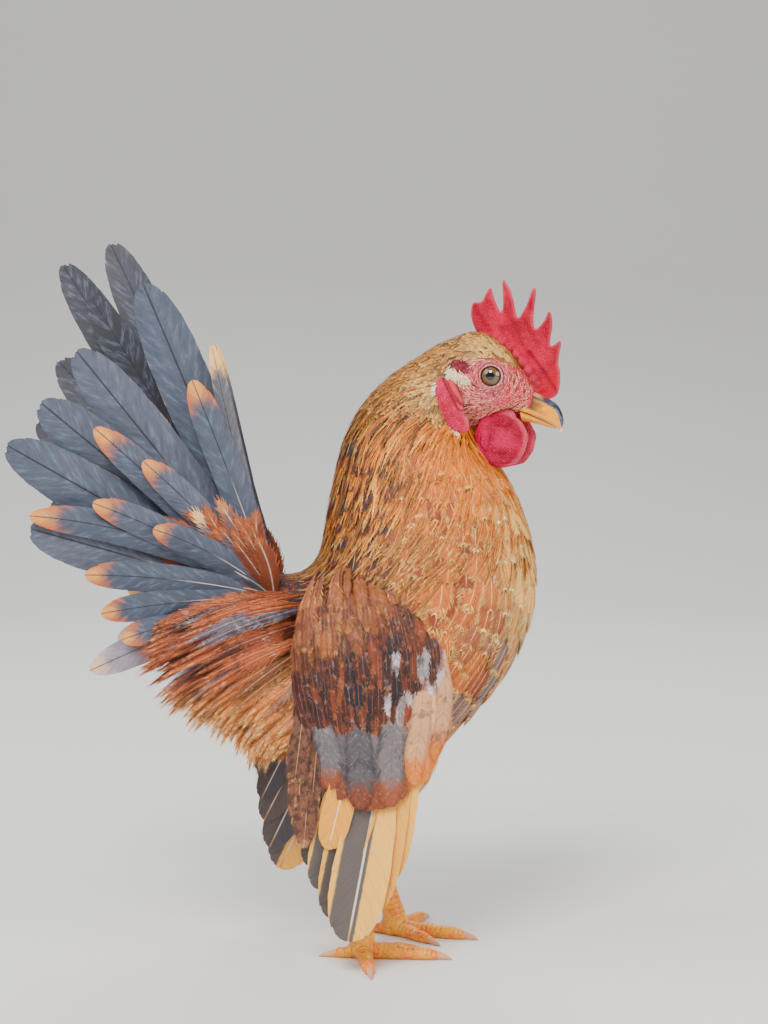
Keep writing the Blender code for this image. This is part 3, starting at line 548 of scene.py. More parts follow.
def featherPaint(
    name, edge, tip, shaftTone, shaftWide=0.05, streak=0.35, shaftShare=0.8, lean=1.1, grain=7.0,
    mottle=None, fleck=None, strands=1.2,
):
    # centre and rim colours come from the feathers; edge and tip say where the rim begins
    paint = Paint(name, Roughness=0.6, Specular_IOR_Level=0.35)
    _, c, s, across, slanted = vaneOf(paint, lean)
    luck = paint.attribute("luck")
    fine = paint.noise(paint.vector(across * strands, slanted * grain, luck * 40.0), 3.0, 3.0, 0.6)
    blotch = paint.noise(paint.vector(across * 2.0, slanted * 2.2, luck * 90.0), 2.0, 2.0)
    wobble = (fine - 0.5) * 0.5 + (blotch - 0.5) * 0.45
    rim = paint.larger(paint.step(c + wobble, *edge), paint.step(s + wobble * 0.5, *tip))
    colour = paint.mix(rim, paint.attribute("centre", 0), paint.attribute("rim", 0))
    place = paint.objectPlace()
    if mottle:  # dark and pale patches that run over the feathers' bounds
        patch = paint.noise(place, mottle["scale"], 3.0, 0.65) + (blotch - 0.5) * 0.25
        colour = paint.mix(paint.step(patch, *mottle["from"]) * mottle["share"], colour, mottle["tone"])
    if fleck:
        spots = paint.noise(place, fleck["scale"], 2.0, 0.7) + (fine - 0.5) * 0.5
        colour = paint.mix(paint.step(spots, *fleck["from"]) * fleck["share"], colour, fleck["tone"])
    shaft = (1.0 - paint.step(c, shaftWide * 0.5, shaftWide * 1.6)) * (1.0 - paint.step(s, 0.8, 1.0))
    colour = paint.mix(shaft * shaftShare, colour, shaftTone)
    light = 1.06 - streak * 0.6 + paint.step(fine, 0.3, 0.7) * streak + (luck - 0.5) * 0.3
    paint.colour(paint.shaded(colour, light))
    paint.bump(fine, 0.0002, 0.35)
    return paint


# ---- the camera, the lights and the floor
stage = {
    "camera": (-5.76, -748.17, 210.88), "tilt": 86, "lens": 73.24, "aim": (0, 0, 0.14),
    # place in metres, size, power, colour
    "lights": [
        ((-0.3, -1.0, 1.3), 0.6, 28.0, (1.0, 0.98, 0.95)),
        ((1.05, -0.7, 0.6), 0.7, 10.0, (1.0, 0.97, 0.93)),
        ((-0.9, -0.3, 0.9), 0.8, 8.0, (0.96, 0.98, 1.0)),
        ((0.1, 0.9, 1.1), 0.9, 10.0, (0.95, 0.98, 1.0)),
    ],
    "air": (0.86, 0.88, 0.9, 1.0), "airPower": 0.36, "floor": 4.0, "farEdge": 1.9, "wall": 2.5, "curve": 1.0,
}


def pickEdges(obj, wanted):
    # selects the edges whose two ends are both wanted
    bpy.ops.mesh.select_all(action="DESELECT")
    bpy.ops.object.mode_set(mode="OBJECT")
    for edge in obj.data.edges:
        edge.select = all(wanted(obj.data.vertices[v].co) for v in edge.vertices)
    bpy.ops.object.mode_set(mode="EDIT")


def makeStage():
    spot = np.array(stage["camera"]) + shift
    bpy.ops.object.camera_add(location=spot * mm, rotation=(math.radians(stage["tilt"]), 0, 0))
    camera = bpy.context.object
    camera.data.lens = stage["lens"]
    camera.data.sensor_width = 36
    camera.data.clip_start = 0.02
    bpy.context.scene.camera = camera
    for place, size, power, colour in stage["lights"]:
        bpy.ops.object.light_add(type="AREA", location=place)
        lamp = bpy.context.object
        lamp.data.size = size
        lamp.data.energy = power
        lamp.data.color = colour
        lamp.rotation_euler = (Vector(stage["aim"]) - lamp.location).to_track_quat("-Z", "Y").to_euler()
    world = bpy.data.worlds.new("studio")
    bpy.context.scene.world = world
    world.use_nodes = True
    background = world.node_tree.nodes["Background"]
    background.inputs["Color"].default_value = stage["air"]
    background.inputs["Strength"].default_value = stage["airPower"]
    floorPaint = Paint("paleFloor", Roughness=0.85)
    grain = floorPaint.noise(floorPaint.objectPlace(), 6.0)
    floorPaint.colour(floorPaint.mix(grain, (0.78, 0.77, 0.75), (0.82, 0.81, 0.79)))
    bpy.ops.object.select_all(action="DESELECT")
    bpy.ops.mesh.primitive_plane_add(size=stage["floor"], location=(0, 0, 0))
    floor = bpy.context.object
    floor.name = "floor"
    bpy.ops.object.mode_set(mode="EDIT")
    bpy.ops.mesh.select_mode(type="EDGE")
    pickEdges(floor, lambda co: co.y > stage["farEdge"])  # the far edge rises as a backdrop
    bpy.ops.mesh.extrude_region_move(TRANSFORM_OT_translate={"value": (0, 0, stage["wall"])})
    pickEdges(floor, lambda co: co.y > stage["farEdge"] and co.z < 0.1)
    bpy.ops.mesh.bevel(offset=stage["curve"], segments=16, affect="EDGES")
    bpy.ops.object.mode_set(mode="OBJECT")
    bpy.ops.object.shade_smooth()
    floor.data.materials.append(floorPaint.material)
    floor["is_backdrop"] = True


makeStage()
print("stage set")


def rowsOnBody(draw, places, angleFrom, angleTo, spacing, jitter):
    # roots in rows round the body, staggered from row to row
    spots = []
    for k, place in enumerate(places):
        ring = onBody(place, np.linspace(angleFrom, angleTo, 40))
        length = np.linalg.norm(np.diff(ring, axis=0), axis=1).sum()
        count = max(int(length / spacing), 2)
        share = (np.arange(count) + 0.5 * (k % 2) + 0.25 + draw.normal(0, jitter, count)) / count
        at = place + draw.normal(0, 0.05, count)
        spots.append(np.stack([at, angleFrom + (angleTo - angleFrom) * share], 1))
    spots = np.concatenate(spots)
    return spots[:, 0], spots[:, 1]


# ---- the skin
face = {
    "eye": (34.2, 207.5),
    # x, z, reach in x and z, height of each swelling or hollow on the side of the head
    "forms": [
        (35.0, 212.6, 6.0, 2.2, 0.7), (43.0, 204.5, 3.4, 4.5, -0.8), (28.5, 199.5, 6.0, 4.5, 0.6),
        (23.6, 210.8, 2.6, 1.5, -1.3), (38.5, 197.0, 6.0, 2.2, 0.7), (41.5, 194.2, 4.0, 0.8, -0.8),
        (27.6, 206.0, 1.2, 4.0, -0.35), (34.2, 201.4, 5.0, 1.0, -0.3),
    ],
}


def skinDepth(place):
    return 2.4 - 0.9 * ramp(place, 11, 13.5) - 1.25 * ramp(place, 13.5, 16.0)


def straightened(points):
    # head points as if the head looked straight ahead
    x, y = points[..., 0] - turnAxisX, points[..., 1]
    cos, sin = math.cos(headTurn), math.sin(headTurn)
    return np.stack([turnAxisX + x * cos + y * sin, y * cos - x * sin, points[..., 2]], -1)


def fromEye(spot):
    # how far ahead of the eye's middle, how far above it and how far from it in side view
    ahead, above = spot[..., 0] - face["eye"][0], spot[..., 2] - face["eye"][1]
    return ahead, above, np.hypot(ahead, above)


def faceForm(points):
    # how far the face stands out of, or sinks into, its plain sections
    spot = straightened(points)
    x, z = spot[..., 0], spot[..., 2]
    side = ramp(np.abs(spot[..., 1]), 4.0, 9.0)
    form = np.zeros_like(x)
    for atX, atZ, reachX, reachZ, height in face["forms"]:
        form += height * np.exp(-(((x - atX) / reachX) ** 2 + ((z - atZ) / reachZ) ** 2))
    ahead, above, gap = fromEye(spot)
    form -= 3.2 * (1 - ramp(gap, 3.2, 4.1)) * side
    form += 0.35 * np.exp(-(((gap - 5.0) / 0.9) ** 2))
    spin = np.arctan2(above, ahead)
    ripple = np.sin(gap * 3.4 + 1.6 * np.sin(spin * 3 + 1) + 0.8 * np.sin(spin * 7))
    ripple = ripple * np.sin(spin * 5 + gap * 0.5)
    form += 0.13 * ripple * ramp(gap, 4.6, 5.6) * (1 - ramp(gap, 10, 15))
    return form * side


def onSkin(place, angle):
    outs = bodyOut(place, angle)
    points = onBody(place, angle, -skinDepth(place))
    return points + outs * (faceForm(points) * ramp(place, 14, 16))[..., None], outs


def makeSkin():
    place = np.concatenate([np.linspace(0.0, 12.5, 110), np.linspace(12.55, 22.98, 190)])
    angle = np.linspace(0, math.tau, 160, endpoint=False)
    place, angle = np.meshgrid(place, angle, indexing="ij")
    points, faces = closedTube(onSkin(place, angle)[0])
    obj = meshFrom("skin", points, faces, skinPaint())
    place = np.concatenate([place.ravel(), [0, 23]])
    angle = np.concatenate([angle.ravel(), [0, 0]])
    giveUv(obj, "OFBake", bodyPatch(place, angle))
    spot = straightened(points)
    middling = np.full(len(points), 0.5)
    # under the feathers the skin takes the coat's colours, darkened to three quarters as painted shade
    # beneath the coat
    ground = bodyColours(points, middling)[0]
    mane = hackleColours(points, middling * 0.6, middling)[0]
    giveColour(obj, "ground", blend(ground, mane, ramp(place, 9.0, 10.5)) * 0.75)
    giveValue(obj, "eyeGap", fromEye(spot)[2])
    across, down = spot[:, 0] - 23.6, spot[:, 2] - 211.0
    along, up = across * 0.9 - down * 0.42, down * 0.9 + across * 0.42
    ear = np.exp(-((along / 4.4) ** 2 + (up / 2.6) ** 2))
    giveValue(obj, "ear", ear)
    giveValue(obj, "bare", np.maximum(bareShare(spot, place), ramp(ear, 0.12, 0.3)))
    giveValue(obj, "front", ramp(spot[:, 0] + 0.25 * (203 - spot[:, 2]), 37.0, 41.5))
    return obj


def bareShare(spot, place):
    # 1 on the bare face, 0 under feathers; spot is straightened
    bare = ramp(spot[:, 0] - 0.3 * (spot[:, 2] - 200), 18.5, 21.5) * ramp(place, 13.6, 14.8)
    bare = bare * np.maximum(ramp(spot[:, 2], 187.5, 190.5), ramp(spot[:, 0], 35.0, 37.0))
    crown = ramp(spot[:, 2] + 0.35 * (spot[:, 0] - 30), 212.5, 216.5)
    return bare * (1 - crown)


def skinPaint():
    paint = Paint("skinPaint", Roughness=0.5, Specular_IOR_Level=0.4)
    place = paint.objectPlace()
    fine = paint.noise(place, 1100.0, 3.0, 0.6)
    broad = paint.noise(place, 190.0, 3.0)
    warts = paint.cells(place, 1300.0)
    pink = paint.mix(paint.step(fine, 0.3, 0.7), (0.56, 0.02, 0.07), (0.82, 0.2, 0.22))
    pink = paint.mix(paint.step(broad, 0.42, 0.66) * 0.55, pink, (0.6, 0.02, 0.07))
    pink = paint.mix((1.0 - paint.step(warts, 0.2, 0.5)) * 0.4, pink, (0.9, 0.5, 0.44))
    red = paint.mix(paint.step(fine, 0.3, 0.7), (0.5, 0.0, 0.03), (0.82, 0.02, 0.07))
    red = paint.mix((1.0 - paint.step(warts, 0.15, 0.45)) * 0.5, red, (0.92, 0.22, 0.26))
    colour = paint.mix(paint.attribute("front"), pink, red)
    gap = paint.attribute("eyeGap")
    colour = paint.mix((1.0 - paint.step(gap, 3.6, 5.4)) * 0.7, colour, (0.6, 0.12, 0.12))
    # the ear opening painted near-black: painted shade of the hole, over a shallow hollow
    dark = paint.mix(paint.step(fine, 0.35, 0.65), (0.09, 0.003, 0.012), (0.3, 0.012, 0.035))
    colour = paint.mix(paint.step(paint.attribute("ear"), 0.3, 0.5), colour, dark)
    # the painted-shade coat colour under the feathers, and the skin's own colour where the face is bare
    colour = paint.mix(paint.attribute("bare"), paint.attribute("ground", 0), colour)
    paint.colour(colour)
    folds = paint.noise(place, 420.0, 4.0, 0.6)
    paint.bump(folds * 0.8 - warts * 0.7, 0.0008, 0.9)
    return paint


# ---- body feathers
bodyCoat = {"seed": 11, "rows": 19, "spacing": 4.7, "length": 20.5, "halfWidth": 4.4, "overlap": 0.14}


def wave(points, size, seed):
    # a soft random pattern over the body, from 0 to 1
    draw = np.random.default_rng(seed)
    total = np.zeros(points.shape[:-1])
    for _ in range(6):
        way = draw.normal(0, 1, 3)
        phase = points @ (way / np.linalg.norm(way)) / size * math.tau * draw.uniform(0.7, 1.4)
        total += np.sin(phase + draw.uniform(0, 6.3))
    return 0.5 + total / 9


def bodyColours(tips, luck):
    # centre and rim of the feathers that end at these places
    x, z = tips[:, 0], tips[:, 2]
    rust, amber, cream = tone(148, 74, 50), tone(206, 124, 74), tone(255, 238, 200)
    slate, wine, gold = tone(104, 98, 106), tone(92, 50, 42), tone(252, 204, 136)
    centre = blend(rust, amber, ramp(luck, 0.2, 1.0))
    front = ramp(x + (z - 130) * 0.1, 22, 46)
    centre = blend(centre, tone(250, 204, 146), front**1.5 * 0.8)
    throat = ramp(z, 158, 174)
    centre = blend(centre, tone(214, 128, 66), throat * 0.8)
    rim = blend(gold, cream, np.clip(front + 0.25, 0, 1))
    rim = blend(rim, tone(246, 186, 112), throat * 0.6)
    low = (1 - ramp(z, 98, 124)) * ramp(x, -6, 10)
    spot = low * ramp(wave(tips, 15.0, 5) + 0.3 * (luck - 0.5), 0.5, 0.6)
    centre = blend(centre, slate, spot * 0.9)
    behind = 1 - ramp(x - (z - 130) * 0.1, -12, 2)
    dark = blend(wine, tone(60, 50, 56), ramp(wave(tips, 9.0, 8), 0.45, 0.6))
    centre = blend(centre, dark, behind * ramp(z, 90, 120))
    rim = blend(rim, tone(160, 80, 42), behind * ramp(z, 90, 120))
    under = 1 - ramp(z, 66, 92)
    centre = blend(centre, tone(214, 142, 84), under * 0.8)
    rim = blend(rim, tone(242, 206, 158), under * 0.7)
    return centre, rim


def makeBodyCoat():
    draw = np.random.default_rng(bodyCoat["seed"])
    paint = featherPaint("breastPaint", (0.5, 1.05), (0.94, 1.04), tone(255, 226, 170), 0.03, 0.5, 0.6)
    patterns = [
        vanePattern(roundShape, seed, 10, 4, 0.5, fringe=36, reach=0.26, hair=0.5) for seed in (1, 2, 3, 4)
    ]
    pieces = []
    overlap = bodyCoat["overlap"]
    halves = (("coatRight", math.pi - overlap, math.tau), ("coatLeft", 0.0, math.pi + overlap))
    for name, angleFrom, angleTo in halves:
        places = np.concatenate([np.linspace(1.0, 2.8, 5), np.linspace(3.2, 11.6, bodyCoat["rows"])])
        place, angle = rowsOnBody(draw, places, angleFrom, angleTo, bodyCoat["spacing"], 0.13)
        count = len(place)
        short = 1 - 0.4 * ramp(place, 8.5, 12) - 0.5 * (1 - ramp(place, 1.0, 3.2))
        length = bodyCoat["length"] * short * draw.uniform(0.88, 1.12, count)
        width = bodyCoat["halfWidth"] * (1 - 0.3 * ramp(place, 8.5, 12)) * draw.uniform(0.88, 1.12, count)
        luck = np.random.default_rng(3).random(count)
        tips = onBody(np.maximum(place - placeStep(place, angle, length), 0), angle)
        colours = bodyColours(tips, luck)
        obj = bodyFeathers(name, paint, place, angle, length, width, patterns, colours, draw, -1.4, 0.6)
        print(name, count, len(obj.data.polygons))
        pieces.append(obj)
    return pieces


# ---- hackle: long narrow feathers from the nape over the shoulders
hackle = {"seed": 21, "tiers": 38, "spacing": 1.35, "length": (9.0, 34.0), "halfWidth": (0.75, 1.2)}


def hackleColours(tips, luck, lot):
    x, z = tips[:, 0], tips[:, 2]
    rim = blend(tone(216, 142, 82), tone(252, 200, 134), luck)
    # some feathers are dark and some cream: partly their own colour, partly painted shade between the
    # strands and painted highlight on them
    rim = blend(rim, tone(128, 76, 44), ramp(lot, 0.5, 0.6) * 0.85)
    rim = blend(rim, tone(255, 232, 190), ramp(-lot, -0.16, -0.1) * 0.8)
    centre = blend(tone(178, 98, 50), tone(226, 140, 76), luck)
    centre = blend(centre, tone(62, 40, 28), ramp(lot, 0.6, 0.7) * 0.9)
    centre = blend(centre, tone(246, 178, 108), ramp(-lot, -0.2, -0.1) * 0.8)
    back = 1 - ramp(x + (z - 180) * -0.45, -26, -6)
    centre = blend(centre, tone(92, 64, 38), back * 0.75)
    rim = blend(rim, tone(150, 112, 66), back * 0.65)
    throat = ramp(x - (z - 175) * 0.2, 0, 16) * (1 - ramp(z, 186, 198))
    centre = blend(centre, tone(224, 126, 60), throat * 0.7)
    rim = blend(rim, tone(250, 192, 116), throat * 0.7)
    nape = ramp(z, 196, 210)
    centre = blend(centre, tone(138, 98, 58), nape * 0.6)
    rim = blend(rim, tone(204, 156, 102), nape * 0.5)
    low = 1 - ramp(z, 140, 160)
    centre = blend(centre, tone(124, 74, 46), low * 0.6)
    rim = blend(rim, tone(244, 206, 158), low * (1 - back) * 0.5)
    return centre, rim


def makeHackle():
    draw = np.random.default_rng(hackle["seed"])
    paint = featherPaint(
        "hacklePaint", (0.25, 1.0), (0.86, 1.06), tone(250, 206, 140), 0.1, 0.8, 0.3, 0.0, 1.5, strands=26.0,
    )
    shape = {"slant": 0.3, "camber": 0.25, "fringe": 13, "reach": 0.5, "hair": 0.45, "parts": 1}
    patterns = [vanePattern(lanceShape, seed, 6, 3, **shape) for seed in (5, 6, 7, 14)]
    made = []
    for side, word in sides:
        places, angles, tiers = [], [], hackle["tiers"]
        for k in range(tiers):
            share = k / (tiers - 1)
            place = 8.9 + 6.9 * share
            bare = math.radians(3)
            ring = onBody(place, np.linspace(0, math.pi - bare, 30))
            span = np.linalg.norm(np.diff(ring, axis=0), axis=1).sum()
            count = int(span / hackle["spacing"] / (1 - 0.25 * share) * 0.66)
            at = (np.arange(count) + 0.5 * (k % 2) + draw.normal(0, 0.3, count)) / count
            angles.append(side * np.abs(at) * (math.pi - bare))
            places.append(place + draw.normal(0, 0.14, count))
        place, angle = np.concatenate(places), np.concatenate(angles)
        spot = straightened(onBody(place, angle))
        keep = bareShare(spot, place) < 0.4
        place, angle = place[keep], angle[keep]
        count = len(place)
        high = ramp(place, 9.5, 15.5)
        front = ramp(np.abs(angle), 1.6, 2.6)
        low, top = hackle["length"]
        length = (top + (low - top) * high) * (1 - 0.4 * front) * draw.uniform(0.75, 1.2, count)
        low, top = hackle["halfWidth"]
        width = (top + (low - top) * high) * draw.uniform(0.8, 1.25, count)
        luck, lot = draw.random(count), draw.random(count)
        drift = -0.26 * angle * (1 - high * 0.4) * (1 - ramp(np.abs(angle), 1.9, 3.0))
        tips = onBody(np.maximum(place - placeStep(place, angle, length), 0), angle + drift)
        colours = hackleColours(tips, luck, lot)
        obj = bodyFeathers(
            "hackle" + word, paint, place, angle, length, width, patterns, colours,
            draw, -1.7, 0.8, drift, 0.07,
        )
        print("hackle", count, len(obj.data.polygons))
        made.append(obj)
    return made


skin = makeSkin()
print("skin", len(skin.data.polygons))
coatPieces = makeBodyCoat()
hacklePieces = makeHackle()


# ---- the tail: a tented fan of broad feathers, with coverts hanging over them
tail = {
    "root": (-45.0, 0.0, 128.5), "twist": math.radians(7), "layer": 0.95, "coverts": 46,
    # tip x, how far out to the side, tip z, half width, from the highest to the lowest
    right: [
        (-90.7, 10, 239.9, 9.6), (-113.6, 17, 216.5, 9.4), (-125.2, 24, 198.5, 9.6),
        (-136.1, 30, 183.9, 9.4), (-127.5, 35, 155.3, 9.0),
    ],
    left: [
        (-111.5, 4, 236.4, 7.2), (-104.8, 10, 255.4, 8.6), (-123.2, 16, 248.1, 8.2),
        (-126.0, 22, 213.0, 9.2), (-135.0, 28, 190.0, 9.2), (-131.0, 34, 160.0, 9.0),
    ],
    # the hanging coverts: the same, then the arch upwards
    "hangers": [
        (-66.7, 9, 218.7, 3.0, -1.0), (-73.1, 16, 206.1, 5.8, 0.5), (-106.0, 27, 189.6, 5.6, 1.0),
        (-89.4, 26, 178.1, 5.2, 1.5), (-127.1, 38, 159.9, 5.4, 6.0), (-106.0, 33, 164.0, 5.2, 2.5),
        (-85.7, 29, 154.7, 4.8, 2.5), (-108.2, 38, 139.6, 5.2, 2.0), (-103.0, 37, 126.1, 5.0, 1.5),
        (-96.0, 36, 117.0, 5.2, 1.0), (-106.8, 38, 106.6, 5.6, 1.0),
    ],
}
broadShape = [
    (0, 0.24), (0.12, 0.45), (0.25, 0.68), (0.45, 0.9), (0.65, 1.0), (0.8, 0.97), (0.88, 0.86), (0.94, 0.68),
    (0.975, 0.48), (0.993, 0.27), (1.0, 0.04),
]
hangShape = [
    (0, 0.4), (0.25, 0.75), (0.5, 0.98), (0.75, 1.0), (0.86, 0.9), (0.93, 0.72), (0.97, 0.5), (0.992, 0.28),
    (1.0, 0.04),
]


def fanPaths(side, tips, outsets, arches, samples=14):
    # feathers in the fan: each lies in its own upright plane, with its lower edge standing out over the next
    tips, outsets, arches = np.array(tips, float), np.array(outsets, float), np.array(arches, float)
    root = np.array(tail["root"]) + np.stack([outsets * 0, side * outsets, outsets * 0], 1)
    run = np.stack([tips[:, 0], side * tips[:, 1], tips[:, 2]], 1) - root
    upward = unit(np.stack([run[:, 2], run[:, 0] * 0, -run[:, 0]], 1))
    s = np.linspace(0, 1, samples)[None, :, None]
    paths = root[:, None] + run[:, None] * s + upward[:, None] * (4 * arches[:, None, None] * s * (1 - s))
    across = (upward * math.cos(tail["twist"]) - np.array([0, side * math.sin(tail["twist"]), 0])) * side
    along = unit(np.gradient(paths, axis=1))
    outs = np.cross(along, np.broadcast_to(across[:, None], along.shape))
    return paths, unit(outs)


def largeFeathers(name, paint, paths, outs, widths, pattern, colours, draw, columns):
    # large feathers have cells of their own on the bake's map, and each is spread over its cell
    count = len(paths)
    luck = draw.random(count)
    obj = layFeathers(name, paint, paths, outs, widths, [pattern], colours, np.zeros((count, 2)), luck)
    uv = np.empty(len(obj.data.loops) * 2, np.float32)
    obj.data.uv_layers["vane"].data.foreach_get("uv", uv)
    corners = np.empty(len(obj.data.loops), np.int32)
    obj.data.loops.foreach_get("vertex_index", corners)
    k = corners // len(pattern["s"])
    cell = np.stack([k % columns, k // columns], 1).astype(float)
    cell = (cell + 0.06 + uv.reshape(-1, 2) * 0.88) / np.array([columns, -(-count // columns)])
    obj.data.uv_layers["OFBake"].data.foreach_set("uv", cell.astype(np.float32).ravel())
    return obj


def quillPaint(name, edge=None, tip=None, paintedLightShare=0.4):
    # slate vanes with a dark quill that turns white towards its root; without an edge, the two vanes differ
    paint = Paint(name, Roughness=0.5, Specular_IOR_Level=0.4)
    signed, c, s, across, slanted = vaneOf(paint, 1.5)
    luck = paint.attribute("luck")
    fine = paint.noise(paint.vector(across * 0.5, slanted * 13.0, luck * 40.0), 3.0, 3.0, 0.7)
    cloud = paint.noise(paint.vector(across * 1.6, slanted * 1.8, luck * 90.0), 2.2, 4.0, 0.6)
    wobble = (fine - 0.5) * 0.3 + (cloud - 0.5) * 0.3
    centre, other = paint.attribute("centre", 0), paint.attribute("rim", 0)
    if edge:  # the tips are palest in their middle
        tipShare = paint.step(s + wobble * 0.35 + c * c * 0.05, *tip)
        rim = paint.larger(paint.step(c + wobble * 0.6, *edge), tipShare)
        middle = (1.0 - paint.step(c, 0.1, 0.7)) * paint.step(s, 0.86, 0.94)
        other = paint.mix(middle * 0.45, other, tone(240, 204, 150))
        quillTone = paint.mix(paint.step(s, 0.35, 0.62), tone(226, 220, 214), tone(52, 54, 64))
    else:  # one vane dark with a pale edge, the other pale with a dark strip beside the quill
        inner = paint.step(signed + wobble * 0.25, -0.2, -0.13)
        rim = inner * (1.0 - paint.step(signed + wobble * 0.4, 0.74, 0.84))
        quillTone = paint.mix(paint.step(s, 0.86, 0.98), tone(244, 236, 222), tone(206, 160, 110))
    # blotches of painted highlight in pale blue-grey and of painted shade in dark slate over the vanes
    paler = paint.mix(paint.step(cloud, 0.48, 0.78) * paintedLightShare, centre, tone(146, 156, 176))
    paler = paint.mix((1.0 - paint.step(cloud, 0.25, 0.5)) * paintedLightShare, paler, tone(58, 60, 70))
    colour = paint.mix(rim, paler, other)
    colour = paint.mix((1.0 - paint.step(c, 0.018, 0.05)) * 0.8, colour, quillTone)
    paint.colour(paint.shaded(colour, 0.85 + paint.step(fine, 0.3, 0.7) * 0.4))
    paint.rough(0.42 + fine * 0.2)
    paint.bump(fine, 0.0002, 0.4)
    return paint


def makeTail():
    broad = quillPaint("tailPaint", (0.97, 1.04), (1.2, 1.3))
    tipped = quillPaint("hangerPaint", (1.0, 1.1), (0.86, 0.97))
    small = featherPaint(
        "tailCovertPaint", (0.6, 1.0), (0.78, 0.95), tone(230, 216, 200), 0.06, 0.5, 0.6, 1.6,
    )
    wide = vanePattern(broadShape, 31, 64, 7, 0.16, 0.10, ragged=0.006, shaft=0.035, splits=3)
    slim = vanePattern(hangShape, 32, 40, 7, 0.2, 0.22, ragged=0.01, shaft=0.05, splits=2)
    tufts = [vanePattern(leafShape, seed, 9, 4, 0.4, fringe=26, reach=0.3, shaft=0.04) for seed in (35, 36)]
    made = []
    for side, word in sides:
        draw = np.random.default_rng(33 + side)
        rows = np.array(tail[side], float)
        layers = (np.arange(len(rows)) + 1) * tail["layer"]
        paths, outs = fanPaths(side, rows[:, :3], layers, np.zeros(len(rows)))
        luck = draw.random(len(rows))
        slate = blend(tone(84, 92, 108), tone(104, 108, 122), luck)
        if side == left:
            slate = blend(tone(66, 66, 74), tone(88, 88, 96), luck)
        buff = blend(tone(206, 170, 136), tone(186, 150, 120), luck)
        colours = (slate, buff)
        made.append(largeFeathers("tailFan" + word, broad, paths, outs, rows[:, 3], wide, colours, draw, 3))
        rows = np.array(tail["hangers"], float)
        layers = (len(tail[side]) + 1 + np.arange(len(rows)) % 3) * tail["layer"]
        paths, outs = fanPaths(side, rows[:, :3], layers, rows[:, 4])
        luck = draw.random(len(rows))
        slate = blend(tone(78, 86, 102), tone(98, 104, 120), luck)
        orange = blend(tone(196, 112, 70), tone(216, 138, 88), luck)
        slate[0], orange[0] = tone(110, 108, 116), tone(244, 206, 160)
        slate[-1], orange[-1] = tone(150, 140, 152), tone(190, 176, 178)
        colours = (slate, orange)
        made.append(largeFeathers("hangers" + word, tipped, paths, outs, rows[:, 3], slim, colours, draw, 4))
        # small coverts round the root of the fan
        count = tail["coverts"]
        turn = np.radians(100 + 108 * (np.arange(count) + draw.random(count)) / count)
        reach = 20 + 30 * draw.random(count) ** 1.3 * np.clip(np.sin((turn - 1.3) * 1.1), 0.3, 1)
        ends = np.stack([-45 + reach * np.cos(turn), 10 + reach * 0.22, 128.5 + reach * np.sin(turn)], 1)
        layers = (len(tail[side]) + 2.5 + 3.2 * (1 - reach / 50)) * tail["layer"]
        paths, outs = fanPaths(side, ends, layers, draw.normal(1.0, 1.6, count), 10)
        luck, lot = draw.random(count), draw.random(count)
        high = 1 - ramp(turn, 1.9, 2.3)
        centre = blend(tone(84, 88, 102), tone(128, 122, 132), luck)
        centre = blend(centre, tone(136, 76, 54), np.maximum(high, ramp(lot, 0.55, 0.6)))
        rim = blend(tone(186, 112, 76), tone(232, 200, 162), ramp(luck, 0.6, 0.95))
        rim = blend(rim, tone(178, 112, 80), high)
        made.append(layFeathers(
            "tailCoverts" + word, small, paths, outs, 2.6 + 1.6 * luck, tufts, (centre, rim),
            bodyPatch(0.3 + 1.5 * lot, side * turn / 4), luck,
        ))
    return made


tailPieces = makeTail()
print("tail")


# ---- saddle: soft lance-shaped feathers from the rump over the flanks
saddle = {
    "seed": 41, "count": 270, "angle": (10, 104), "place": (2.2, 4.6),
    "tips": [
        (-88.0, 31, 121.5), (-95.0, 34, 109.0), (-86.0, 34, 94.0), (-73.0, 34, 83.5),
        (-61.0, 34, 79.0), (-53.5, 34, 71.0), (-46.5, 33, 70.0),
    ],
    "halfWidth": 2.5,
}


def saddleColours(tips, luck, lot):
    z = tips[:, 2]
    centre = blend(tone(128, 66, 48), tone(178, 98, 64), luck)
    rim = blend(tone(180, 104, 74), tone(226, 162, 122), luck)
    darker = ramp(lot, 0.56, 0.6) * (1 - ramp(lot, 0.76, 0.8))
    centre = blend(centre, tone(58, 38, 38), darker)
    rim = blend(rim, tone(112, 66, 54), darker)
    centre = blend(centre, tone(108, 104, 118), ramp(lot, 0.82, 0.86))
    rim = blend(rim, tone(190, 172, 172), ramp(lot, 0.88, 0.92))
    low = 1 - ramp(z, 82, 102)
    centre = blend(centre, tone(212, 144, 92), low * 0.75)
    rim = blend(rim, tone(250, 212, 162), low * 0.8)
    return centre, rim


